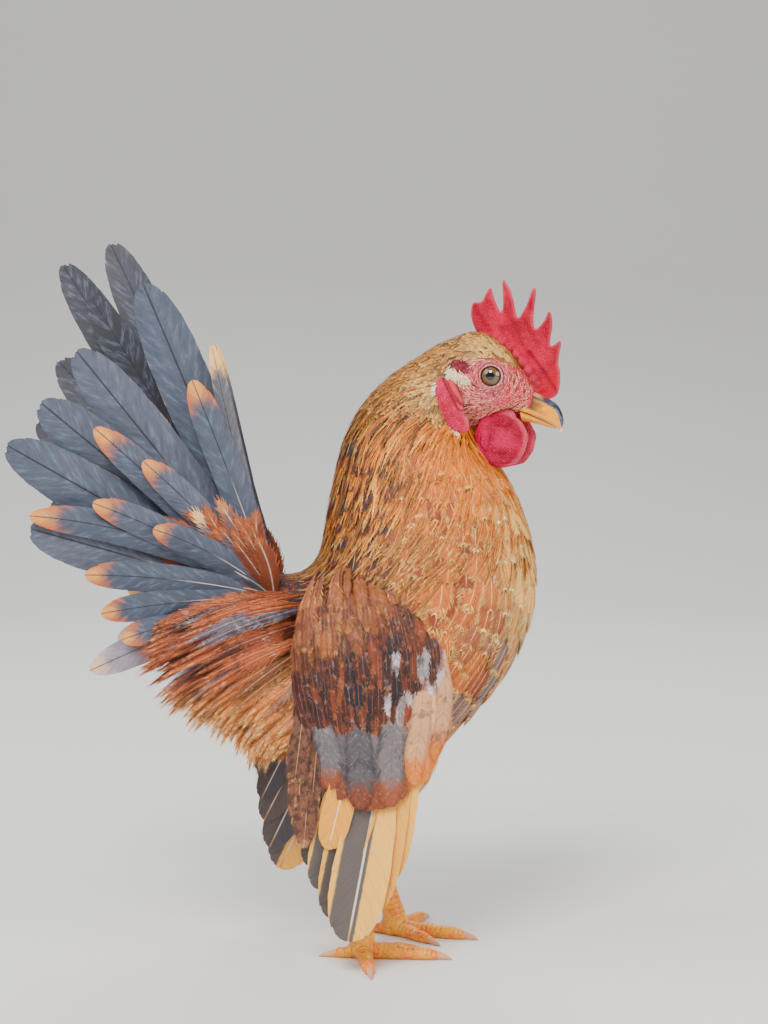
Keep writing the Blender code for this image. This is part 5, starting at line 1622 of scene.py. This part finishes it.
def makeEarlobe(side, word):
    def lean(angle):
        upright = Matrix.Rotation(headTurn, 3, "Z") @ Matrix.Rotation(side * math.radians(3), 3, "X")
        return upright @ Matrix.Rotation(math.radians(-angle), 3, "Y")

    def along(lobe, tilt, share):
        x, z, half = lobe
        tilt = math.radians(tilt)
        return x - half[2] * share * math.sin(tilt), z + half[2] * share * math.cos(tilt)

    outer, inner = earlobe["outer"], earlobe["inner"]
    lobes = []
    shapes = (
        (outer, earlobe["outerTilt"], 13.0), (inner, earlobe["innerTilt"], 13.3),
        (earlobe["lower"], earlobe["lowerTilt"], 12.4),
    )
    for lobe, tilt, out in shapes:
        lobes.append(lump(onHead(lobe[0], side * out, lobe[1]), lobe[2], lean(tilt), 48, 40))
    piece = remeshed(joined(lobes), 0.24, 2)
    co = spotsOf(piece)
    spot = straightened(co)
    flat = spot[:, [0, 2]]
    outerLine = [along(outer, earlobe["outerTilt"], k) for k in (-1, 0.9)]
    innerLine = [along(inner, earlobe["innerTilt"], k) for k in (-1.1, 1.1)]
    nearInner = lineGap(flat, innerLine)
    # a split between the lobes and a crease round the inner one, both painted with shade
    split = 0.8 * np.exp(-((nearInner / 0.3) ** 2)) * (1 - ramp(spot[:, 2], 199, 203))
    crease = np.exp(-(((nearInner - 1.75) / 0.35) ** 2)) + split
    rim = ramp(lineGap(flat, outerLine), 2.4, 4.0) * 0.8
    marks(piece, rim=rim, smooth=1 - ramp(nearInner, 0.9, 1.5), crease=np.minimum(crease, 1) * 0.85)
    paint = fleshPaint(
        "earlobePaint" + word, (0.44, 0.008, 0.03), (0.68, 0.01, 0.1), (0.92, 0.22, 0.34),
        (0.5, 0.03, 0.02), 0.45,
    )
    return toBird(piece, "earlobe" + word, paint)


lobePieces = []
for side, word in sides:
    lobePieces += [makeWattle(side, word), makeEarlobe(side, word)]
print("wattles and earlobes", [len(p.data.polygons) for p in lobePieces])


# ---- beak
beak = {
    # cutting edge x, z, crown x, z, half width
    "upper": [
        (43.2, 195.3, 46.6, 202.6, 5.2), (46.4, 194.2, 49.6, 200.9, 4.7), (49.8, 192.8, 52.8, 199.0, 3.9),
        (52.8, 191.4, 55.4, 197.2, 3.1), (55.0, 190.3, 57.0, 194.6, 2.2), (56.1, 189.2, 57.8, 191.7, 1.3),
        (56.6, 187.6, 57.5, 188.2, 0.4),
    ],
    "lower": [
        (43.4, 194.8, 43.6, 191.4, 4.6), (46.3, 193.7, 46.9, 190.9, 4.0), (49.6, 192.3, 50.4, 189.9, 3.1),
        (52.5, 190.95, 53.2, 189.2, 2.2), (54.5, 189.95, 55.0, 188.8, 1.2), (55.4, 189.3, 55.6, 188.9, 0.5),
    ],
}


def beakPaint():
    paint = Paint("beakPaint", Roughness=0.3, Specular_IOR_Level=0.5, Coat_Weight=0.3, Coat_Roughness=0.12)
    place = paint.objectPlace()
    along = paint.attribute("toTip")
    crown = paint.attribute("crown")
    streaks = paint.noise(paint.stretched(place, (500.0, 500.0, 500.0)), 1.0, 3.0)
    horn = paint.mix(streaks, tone(232, 140, 44), tone(250, 196, 110))
    slate = paint.mix(paint.step(streaks, 0.3, 0.7), tone(34, 42, 56), tone(86, 100, 120))
    bound = crown + (streaks - 0.5) * 0.25 + paint.step(along, 0.45, 0.9) * 0.3
    colour = paint.mix(paint.step(bound, 0.7, 0.84), horn, slate)
    gape = 1.0 - paint.step(along + crown * 0.2 + (streaks - 0.5) * 0.2, 0.22, 0.48)
    gape = gape * paint.step(crown, 0.1, 0.3)
    colour = paint.mix(gape * 0.9, colour, tone(54, 54, 56))
    base = (1.0 - paint.step(along, 0.14, 0.3)) * paint.step(crown, 0.8, 0.9)
    colour = paint.mix(base * 0.9, colour, tone(214, 164, 120))
    colour = paint.mix(paint.step(along, 0.86, 0.97), colour, tone(244, 226, 190))
    paint.colour(colour)
    paint.bump(streaks, 0.0002, 0.4)
    return paint


def makeBeak(part, paint):
    upward = 1 if part == "upper" else -1
    rows, around = 44, 33
    table = smoothRows(beak[part], rows)
    a = np.linspace(0, math.pi, around)
    rise = np.sin(a) ** 0.8
    edge = table[:, None, 0:2]
    crown = table[:, None, 2:4] - edge
    spot = edge + crown * rise[None, :, None]
    width = table[:, None, 4] * (np.cos(a) * np.abs(np.cos(a)) ** -0.12)[None] * upward
    if part == "upper":  # the ridge stands up a little, and the nostril lies in a long hollow under it
        ridge = 0.35 * np.exp(-(((a - math.pi / 2) / 0.3) ** 2))
        spot[..., 1] += ridge[None] * ramp(np.linspace(0, 1, rows), 0.0, 0.4)[:, None]
        hollow = np.exp(-(((spot[..., 0] - 50.6) / 1.9) ** 2 + ((spot[..., 1] - 196.6) / 0.75) ** 2))
        width = width * (1 - 0.14 * hollow)
    points = onHead(spot[..., 0], width, spot[..., 1])
    name = "beakUpper" if part == "upper" else "beakLower"
    obj = meshFrom(name, *closedTube(points), paint)
    toTip = np.repeat(np.linspace(0, 1, rows), around)
    ridge = np.tile(rise, rows) if part == "upper" else np.zeros(rows * around)
    giveValue(obj, "toTip", np.concatenate([toTip, [0, 1]]))
    giveValue(obj, "crown", np.concatenate([ridge, [0.5, 0.5]]))
    return facesOut(obj)


hornPaint = beakPaint()
beakPieces = [makeBeak("upper", hornPaint), makeBeak("lower", hornPaint)]
print("beak")


# ---- legs: lumps along each limb, made one by a fine remesh, then cut into scutes
legs = {
    right: {"hip": (-4, -14, 82), "hock": (-24, -17, 42), "foot": (-13.5, -16, 7), "heading": -6},
    left: {"hip": (4, 14, 82), "hock": (-11, 17, 42), "foot": (-2, 15, 7), "heading": -16},
    "thigh": 12.5, "hockRadius": 4.6, "shank": 3.5, "claw": 5.6,
    # turn from the foot's heading, length, radius
    "toes": {
        "middle": (0, 26.5, 3.0), "inner": (-30, 18.5, 2.6),
        "outer": (77, 22.5, 2.7), "hind": (176, 10, 2.4),
    },
}


def thighPath(side, count):
    # places and radii down the thigh, from inside the belly to the hock
    leg = legs[side]
    hip, hock = np.array(leg["hip"], float), np.array(leg["hock"], float)
    knee = hip + (hock - hip) * 0.42 + np.array([2.5, 0, 0])
    keys = np.array([hip, knee, hip + (hock - hip) * 0.76, hock + (0.6, 0, 3), hock, hock - (0, 0, 3.6)])
    sizes = np.array([0.9, 1.0, 0.66, 1.12 * 4.6 / 12.5, 4.6 / 12.5, 3.5 / 12.5]) * legs["thigh"]
    rows = smoothRows(np.concatenate([keys, sizes[:, None]], 1), count)
    return rows[:, :3], rows[:, 3]


def shankPath(side, count):
    leg = legs[side]
    hock, ankle = np.array(leg["hock"], float), np.array(leg["foot"], float)
    s = np.linspace(0, 1, count)[:, None]
    return hock + (ankle - hock) * s, legs["shank"] * (1 + 0.28 * np.abs(2 * s[:, 0] - 1) ** 3)


def toePath(side, toe, count):
    turn, length, radius = legs["toes"][toe]
    heading = math.radians(legs[side]["heading"] + side * turn)
    ahead = np.array([math.cos(heading), math.sin(heading), 0])
    s = np.linspace(0, 1, count)
    size = radius * (1 - 0.34 * s + 0.12 * np.abs(np.sin(3 * math.pi * s))) * 1.06
    foot = legs[side]["foot"]
    points = np.array([foot[0], foot[1], 0.0]) + ahead * (1.5 + (length - 1.5) * s)[:, None]
    points[:, 2] = size * 0.8
    return points, size, ahead


def legPaint():
    paint = Paint("legPaint", Roughness=0.42, Specular_IOR_Level=0.45)
    place = paint.objectPlace()
    grain = paint.noise(place, 900.0, 3.0)
    broad = paint.noise(place, 160.0, 2.0)
    colour = paint.mix(paint.step(broad, 0.35, 0.65), tone(242, 136, 30), tone(255, 190, 70))
    colour = paint.mix(paint.step(grain, 0.45, 0.7) * 0.4, colour, tone(254, 220, 160))
    small = paint.cells(place, 900.0)
    bound = paint.step(small, 0.45, 0.8) * 0.4 * (1.0 - paint.attribute("plated"))
    colour = paint.mix(bound, colour, tone(190, 96, 44))
    colour = paint.mix(paint.attribute("seam") * 0.85, colour, tone(150, 76, 38))
    colour = paint.mix(paint.attribute("sole") * 0.5, colour, tone(206, 150, 96))
    colour = paint.mix(paint.attribute("down"), colour, tone(228, 176, 118))
    paint.colour(colour)
    paint.bump(grain * 0.3 - small * 0.5 * (1.0 - paint.attribute("plated")), 0.0005, 0.7)
    return paint


def makeLeg(side, word, paint):
    leg = legs[side]
    limbs = [(*thighPath(side, 16), None), (*shankPath(side, 18), None)]
    limbs += [toePath(side, toe, 9 if toe == "hind" else 17) for toe in legs["toes"]]
    balls = []
    for points, sizes, ahead in limbs:
        for point, size in zip(points, sizes):
            flat = 1.0 if ahead is None else 0.92
            back = 0 if ahead is None else size * 0.55 * ahead
            balls.append(lump(point - back, (size, size, size * flat), None, 22, 14))
    ankle = leg["foot"]
    balls.append(lump((ankle[0], ankle[1], 3.8), (5.0, 4.8, 4.6), None, 30, 20))
    hock = np.array(leg["hock"], float)
    low = hock + (np.array(ankle) - hock) * 0.68
    for n, size in enumerate((1.5, 1.35, 1.1, 0.8, 0.5)):
        middle = low + np.array([-0.6 * n, -side * (1.0 + 0.8 * n), 0])
        balls.append(lump(middle, (size, size, size), None, 16, 10))
    piece = remeshed(joined(balls), 0.42, 5)
    co = spotsOf(piece)
    normals = np.array([v.normal[:] for v in piece.data.vertices])
    best = np.full(len(co), 99.0)
    phase, up, plate = (np.zeros(len(co)) for _ in range(3))
    heading = math.radians(leg["heading"])
    front = np.array([math.cos(heading), math.sin(heading), 0.0])
    fine = 120
    lines = [thighPath(side, fine), shankPath(side, fine)]
    lines += [toePath(side, toe, fine)[:2] for toe in legs["toes"]]
    for k, (points, sizes) in enumerate(lines):
        length = np.concatenate([[0], np.cumsum(np.linalg.norm(np.diff(points, axis=0), axis=1))])
        for start in range(0, len(co), 8000):
            part = slice(start, start + 8000)
            gaps = np.linalg.norm(co[part, None] - points[None], axis=2) - sizes[None]
            near = gaps.argmin(1)
            value = gaps[np.arange(len(near)), near]
            mine = np.flatnonzero(value < best[part])
            at = mine + start
            near = near[mine]
            best[at] = value[mine]
            phase[at] = length[near] / (2.1 if k == 1 else 1.45)
            way = unit(co[at] - points[near])
            up[at] = way @ (front if k == 1 else np.array([0, 0, 1.0]))
            plate[at] = 0.0 if k == 0 else 1.0
    saw = phase % 1.0
    plated = plate * ramp(up, -0.15, 0.3)
    co = co + normals * (plated * (0.24 * np.sqrt(np.clip(saw, 0, 1)) - 0.1))[:, None]
    co[:, 2] = np.where(co[:, 2] < 0.35, np.maximum(co[:, 2], 0.03), co[:, 2])
    moveTo(piece, co)
    giveValue(piece, "seam", plated * np.maximum(1 - ramp(saw, 0.0, 0.16), ramp(saw, 0.93, 1.0)))
    giveValue(piece, "plated", plated)
    giveValue(piece, "sole", plate * ramp(-up, 0.2, 0.7))
    giveValue(piece, "down", (1 - plate) * ramp(co[:, 2], leg["hock"][2] + 1, leg["hock"][2] + 6))
    return toBird(piece, "leg" + word, paint)


def clawPaint():
    paint = Paint("clawPaint", Roughness=0.32, Specular_IOR_Level=0.5)
    grain = paint.noise(paint.stretched(paint.objectPlace(), (600.0, 600.0, 200.0)), 1.0, 2.0)
    colour = paint.mix(grain, tone(206, 150, 124), tone(234, 190, 160))
    paint.colour(paint.mix(paint.step(paint.attribute("toTip"), 0.5, 1.0), colour, tone(196, 160, 140)))
    return paint


def makeClaws(side, word, paint):
    points, faces, tipShare = [], [], []
    rows, around = 14, 14
    for toe in legs["toes"]:
        path, sizes, ahead = toePath(side, toe, 9)
        end, size = path[-1], sizes[-1]
        s = np.linspace(0, 1, rows)
        base = 0.72 * size / 1.06
        radius = base * (1 - s) ** 0.7 + 0.28 * (1 - s**6)
        centre = end + ahead * (-1.2 + (legs["claw"] + 1.5) * s)[:, None]
        centre[:, 2] = np.maximum(end[2] * (1 - s**2) + 0.1, radius * 1.02 + 0.05)
        a = np.linspace(0, math.tau, around, endpoint=False)
        across = np.array([-ahead[1], ahead[0], 0])
        ring = np.cos(a)[:, None] * across * 0.8 + np.sin(a)[:, None] * np.array([0, 0, 1.0])
        ring = centre[:, None] + ring[None] * radius[:, None, None]
        ringPoints, ringFaces = closedTube(ring, sum(len(p) for p in points))
        points.append(ringPoints)
        faces += ringFaces
        tipShare += [np.repeat(s, around), np.array([0, 1])]
    obj = meshFrom("claws" + word, np.concatenate(points), faces, paint)
    giveValue(obj, "toTip", np.concatenate(tipShare))
    return facesOut(obj)


def makeThighCoat(side, word, paint, patterns):
    # soft feathers down the thigh as far as the hock
    draw = np.random.default_rng(97)
    points, sizes = thighPath(side, 60)
    points, sizes = points[:46], sizes[:46]
    length = np.concatenate([[0], np.cumsum(np.linalg.norm(np.diff(points, axis=0), axis=1))])
    start, angle = [], []
    for level in np.arange(2.0, length[-1] - 6, 2.6):
        count = int(np.interp(level, length, sizes) * math.tau / 2.7)
        start.append(level + draw.normal(0, 0.5, count))
        angle.append((np.arange(count) + draw.random(count) * 0.8) / count * math.tau)
    start, angle = np.concatenate(start), np.concatenate(angle)
    count = len(start)
    long = 9.5 * draw.uniform(0.85, 1.15, count) * (1 - 0.25 * start / length[-1])
    s = np.linspace(0, 1, 7)[None]
    at = np.clip(start[:, None] + long[:, None] * s, 0, length[-1])
    middle = np.stack([np.interp(at, length, points[:, k]) for k in range(3)], -1)
    run = np.stack([np.interp(at, length, np.gradient(points[:, k], length)) for k in range(3)], -1)
    run = unit(run)
    ahead = unit(np.cross(np.array([0, 1.0, 0]), run))
    sideways = np.cross(run, ahead)
    out = ahead * np.cos(angle)[:, None, None] + sideways * np.sin(angle)[:, None, None]
    radius = np.interp(at, length, sizes) - 0.6 + 1.5 * s**0.8 + draw.normal(0, 0.15, count)[:, None] * s
    paths = middle + out * radius[..., None]
    luck = draw.random(count)
    centre = blend(tone(208, 132, 76), tone(228, 164, 104), luck)
    rim = blend(tone(238, 196, 146), tone(248, 216, 170), luck)
    low = 0.05 if side == right else 0.55
    roots = np.stack([0.8 + 0.16 * angle / math.tau, low + 0.4 * start / length[-1]], 1)
    width = 1.7 * draw.uniform(0.85, 1.15, count)
    return layFeathers("thigh" + word, paint, paths, out, width, patterns, (centre, rim), roots, luck)


legSkin, horn = legPaint(), clawPaint()
thighPaint = featherPaint("thighPaint", (0.3, 0.9), (0.75, 1.0), tone(250, 226, 184), 0.06, 0.35, 0.5, 2.0)
thighShape = {"fringe": 20, "reach": 0.4, "parts": 1}
thighPatterns = [vanePattern(leafShape, seed, 6, 4, 0.5, **thighShape) for seed in (81, 82, 83)]
legPieces, clawPieces, thighPieces = [], [], []
for side, word in sides:
    legPieces.append(makeLeg(side, word, legSkin))
    clawPieces.append(makeClaws(side, word, horn))
    thighPieces.append(makeThighCoat(side, word, thighPaint, thighPatterns))
print("legs", [len(p.data.polygons) for p in legPieces], [len(p.data.polygons) for p in thighPieces])


# ---- small feathers and bristles of the head
head = {
    "seed": 101, "bristles": 4300, "tuft": 190, "fringe": 120,
    "tuftFrom": [(20.2, 210.4), (22.4, 209.0), (25.2, 207.2)], "tuftLength": 2.5,
    "fringeLine": [(15.6, 206.2), (14.8, 200.4), (16.6, 194.6), (19.6, 190.2), (23.6, 187.2)],
}


def makeCrown():
    # short feathers over the crown, the nape and the edge of the face
    draw = np.random.default_rng(head["seed"])
    paint = featherPaint("crownPaint", (0.35, 1.0), (0.82, 1.04), tone(120, 80, 44), 0.1, 0.5, 0.5, 2.2, 5.0)
    shape = {"fringe": 9, "reach": 0.45, "hair": 0.55, "parts": 1}
    patterns = [vanePattern(leafShape, seed, 5, 3, 0.5, **shape) for seed in (91, 92, 93)]
    places = np.concatenate([np.linspace(12.6, 16.5, 22), np.linspace(16.75, 22.3, 24)])
    place, angle = rowsOnBody(draw, places, -math.pi, math.pi, 0.85, 0.3)
    spots, _ = onSkin(place, angle)
    spot = straightened(spots)
    bare = bareShare(spot, place)
    gap = fromEye(spot)[2]
    ear = ((spot[:, 0] - 24.8) / 5.6) ** 2 + ((spot[:, 2] - 211.2) / 3.0) ** 2
    keep = (bare < 0.62) & (gap > 5.6) & (spot[:, 2] > 196) & (ear > 1) & (draw.random(len(place)) > bare)
    place, angle, spot = place[keep], angle[keep], spot[keep]
    count = len(place)
    front = ramp(spot[:, 0], 24, 38)
    length = (6.0 - 3.0 * front) * draw.uniform(0.8, 1.25, count)
    width = (0.85 - 0.35 * front) * draw.uniform(0.8, 1.25, count)
    luck, lot = draw.random(count), draw.random(count)
    centre = blend(tone(138, 94, 54), tone(186, 134, 80), luck)
    centre = blend(centre, tone(72, 50, 36), ramp(lot, 0.6, 0.7) * (1 - 0.6 * front))
    rim = blend(tone(196, 146, 90), tone(234, 190, 130), luck)
    rim = blend(rim, tone(150, 106, 64), ramp(lot, 0.6, 0.7) * 0.6)
    low = np.exp(-(((spot[:, 0] - 14.5) / 4.5) ** 2 + ((spot[:, 2] - 206.5) / 5.5) ** 2))
    low = low * ramp(np.abs(spot[:, 1]), 5, 9)
    cream = np.maximum(front * ramp(np.abs(spot[:, 1]), 2, 6), low)
    centre = blend(centre, tone(228, 190, 130), cream * 0.8)
    rim = blend(rim, tone(250, 230, 186), cream * 0.8)
    return bodyFeathers(
        "crown", paint, place, angle, length, width, patterns, (centre, rim), draw, -0.5, 0.45, 0.0, 0.16,
    )


def straightFeathers(
    name, paint, roots, ways, outs, length, width, patterns, colours, patches, luck, samples, rise, bend,
):
    # short straight feathers that rise a little and follow the head's round
    s = np.linspace(0, 1, samples)[None, :, None]
    long = length[:, None, None]
    lift = rise * s - (long * s) ** 2 / (2 * bend)
    paths = roots[:, None] + ways[:, None] * long * s + outs[:, None] * lift
    return layFeathers(
        name, paint, paths, np.repeat(outs[:, None], samples, 1), width, patterns, colours, patches, luck
    )


def makeBristles():
    # fine bristles on the bare face, in arcs round the eye
    draw = np.random.default_rng(head["seed"] + 1)
    count = head["bristles"] * 6
    place = draw.uniform(13.4, 22.6, count)
    side = np.where(draw.random(count) < 0.5, right, left)
    angle = side * draw.uniform(0.25, 2.9, count)
    points, outs = onSkin(place, angle)
    spot = straightened(points)
    x, z = spot[:, 0], spot[:, 2]
    dx, dz, gap = fromEye(spot)
    crowd = 1 - 0.45 * ramp(x, 40, 46) - 0.3 * ramp(-z, -198, -194)
    ear = ((x - 23.6) / 4.0) ** 2 + ((z - 211) / 2.4) ** 2
    keep = (bareShare(spot, place) > 0.2) & (gap > 4.5) & (x < 48.0) & (z > 190.5) & (ear > 0.9)
    keep &= draw.random(count) < crowd
    pick = np.flatnonzero(keep)[: head["bristles"]]
    place, angle, points, outs = place[pick], angle[pick], points[pick], outs[pick]
    dx, dz, gap = dx[pick], dz[pick], gap[pick]
    count = len(pick)
    sign = np.where(dz - 0.3 * dx > 0, 1.0, -1.0)
    around = np.stack([-dz * sign, dx * sign], 1) / gap[:, None]
    share = np.exp(-((np.maximum(gap - 5, 0) / 8.0) ** 2))[:, None]
    way = around * share + np.array([-0.9, -0.35]) * (1 - share) + draw.normal(0, 0.16, (count, 2))
    flat = np.stack([way[:, 0], np.zeros(count), way[:, 1]], 1)
    cos, sin = math.cos(headTurn), math.sin(headTurn)
    ways = np.stack([flat[:, 0] * cos, flat[:, 0] * sin, flat[:, 2]], 1)
    ways = unit(ways - outs * (ways * outs).sum(1, keepdims=True))
    luck, lot = draw.random(count), draw.random(count)
    dark = blend(tone(112, 34, 36), tone(168, 72, 64), luck)
    light = blend(tone(244, 176, 154), tone(252, 220, 196), luck)
    choose = ramp(lot + 0.2 * np.exp(-(((gap - 6) / 2.0) ** 2)), 0.5, 0.52)
    colour = blend(light, dark, choose)
    paint = featherPaint("bristlePaint", (0.9, 1.2), (0.8, 1.2), tone(240, 214, 180), 0.05, 0.2, 0.0)
    blade = {
        "s": np.array([0, 0, 0.5, 0.5, 1, 1.0]), "c": np.array([-1, 1, -0.8, 0.8, -0.15, 0.15]),
        "h": np.array([0, 0, 0.1, 0.1, 0, 0.0]), "faces": np.array([[0, 2, 3, 1], [2, 4, 5, 3]]),
    }
    length = draw.uniform(1.3, 2.6, count)
    width = draw.uniform(0.06, 0.11, count)
    return straightFeathers(
        "bristles", paint, points - outs * 0.1, ways, outs, length, width, [blade], (colour, colour),
        bodyPatch(place, angle), luck, 3, 0.45, 9.0,
    )


def makeTufts():
    # the pale tuft below each ear, and the white fringe round the earlobe
    draw = np.random.default_rng(head["seed"] + 2)
    paint = featherPaint("tuftPaint", (0.3, 0.9), (0.6, 1.0), tone(250, 236, 214), 0.08, 0.3, 0.4, 2.2, 5.0)
    shape = {"fringe": 8, "reach": 0.45, "hair": 0.55, "parts": 1}
    patterns = [vanePattern(lanceShape, seed, 5, 3, 0.5, **shape) for seed in (94, 95)]
    parts = []
    for side in (right, left):
        share = draw.random(head["tuft"])
        line = np.array(head["tuftFrom"])
        x = np.interp(share, [0, 0.5, 1], line[:, 0]) + draw.normal(0, 0.4, len(share))
        z = np.interp(share, [0, 0.5, 1], line[:, 1]) + draw.normal(0, 0.6, len(share))
        z = z - 2.2 * draw.random(len(share))
        roots = onHead(x, side * np.full_like(x, 11.6), z)
        ways = onHead(x + 0.5 * (x - 22), side * (11.6 + 0.7), z - 1.0) - roots
        length = head["tuftLength"] * draw.uniform(0.7, 1.2, len(share))
        parts.append((roots, ways, length, np.full(len(share), side)))
        share = np.sort(draw.random(head["fringe"]))
        line = np.array(head["fringeLine"])
        keys = np.linspace(0, 1, len(line))
        x, z = np.interp(share, keys, line[:, 0]), np.interp(share, keys, line[:, 1])
        x = x + draw.normal(0.5, 0.3, len(x))
        roots = onHead(x, side * (12.6 + 0.8 * draw.random(len(x))), z)
        lean = np.interp(share, [0, 0.5, 1], [-0.7, -0.9, -0.3])
        ways = onHead(x + lean, side * 13.1, z - 0.25 - 0.9 * share) - roots
        parts.append((roots, ways, 1.2 + 1.4 * draw.random(len(x)), np.full(len(x), side)))
    roots, ways, length, mirror = (np.concatenate(group) for group in zip(*parts))
    count = len(roots)
    ways = unit(ways + draw.normal(0, 0.1, (count, 3)))
    outs = unit(np.stack([0.22 * mirror, mirror, np.zeros(count)], 1))
    luck = draw.random(count)
    centre = blend(tone(236, 208, 170), tone(250, 236, 214), luck)
    rim = blend(tone(248, 232, 206), tone(253, 248, 238), luck)
    patches = np.stack([0.04 + 0.05 * luck + 0.5 * (mirror > 0), 0.7 + 0.1 * draw.random(count)], 1)
    return straightFeathers(
        "faceTufts", paint, roots, ways, outs, length, draw.uniform(0.16, 0.32, count), patterns,
        (centre, rim), patches, luck, 5, 0.5, 14.0,
    )


crown, bristles, tufts = makeCrown(), makeBristles(), makeTufts()
print("head", [len(p.data.polygons) for p in (crown, bristles, tufts)])


# ---- every piece rides the bird's body and takes its solids' places
pieceDone(skin, "torso", "neck", "head", slot="face")
for piece in coatPieces:
    pieceDone(piece, slot="breast")
for piece in hacklePieces + [crown, tufts]:
    pieceDone(piece, slot="hackle")
pieceDone(bristles, slot="face")
for k, word in ((0, "right"), (1, "left")):
    fan, hangers, coverts = tailPieces[3 * k:3 * k + 3]
    pieceDone(fan, "tail_" + word, slot="tail")
    pieceDone(hangers, slot="tail")
    pieceDone(coverts, slot="tail")
    pieceDone(saddlePieces[k], "saddle_" + word, slot="saddle")
    shoulder, *others = wingPieces[4 * k:4 * k + 4]
    pieceDone(shoulder, "wing_" + word, slot="wings")
    for piece in others:
        pieceDone(piece, slot="wings")
    pieceDone(eyePieces[2 * k], "eye_" + word, slot="eyes")
    pieceDone(eyePieces[2 * k + 1], slot="face")
    pieceDone(lobePieces[2 * k], "wattle_" + word, slot="wattles")
    pieceDone(lobePieces[2 * k + 1], "earlobe_" + word, slot="earlobes")
    pieceDone(legPieces[k], "leg_" + word, slot="legs")
    pieceDone(thighPieces[k], slot="breast")
    claws = ["claw_" + word + "_" + toe for toe in legs["toes"]]
    pieceDone(clawPieces[k], *claws, slot="claws")
pieceDone(combPiece, "comb", slot="comb")
pieceDone(beakPieces[0], "beak_upper", slot="beak")
pieceDone(beakPieces[1], "beak_lower", slot="beak")

size = {"cad": [list(v) for v in cadBox], "visual": [list(v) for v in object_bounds()]}
for key, box in size.items():
    print(key, [round((b - a) / mm, 1) for a, b in zip(*box)], [round(a / mm, 1) for a in box[0]])
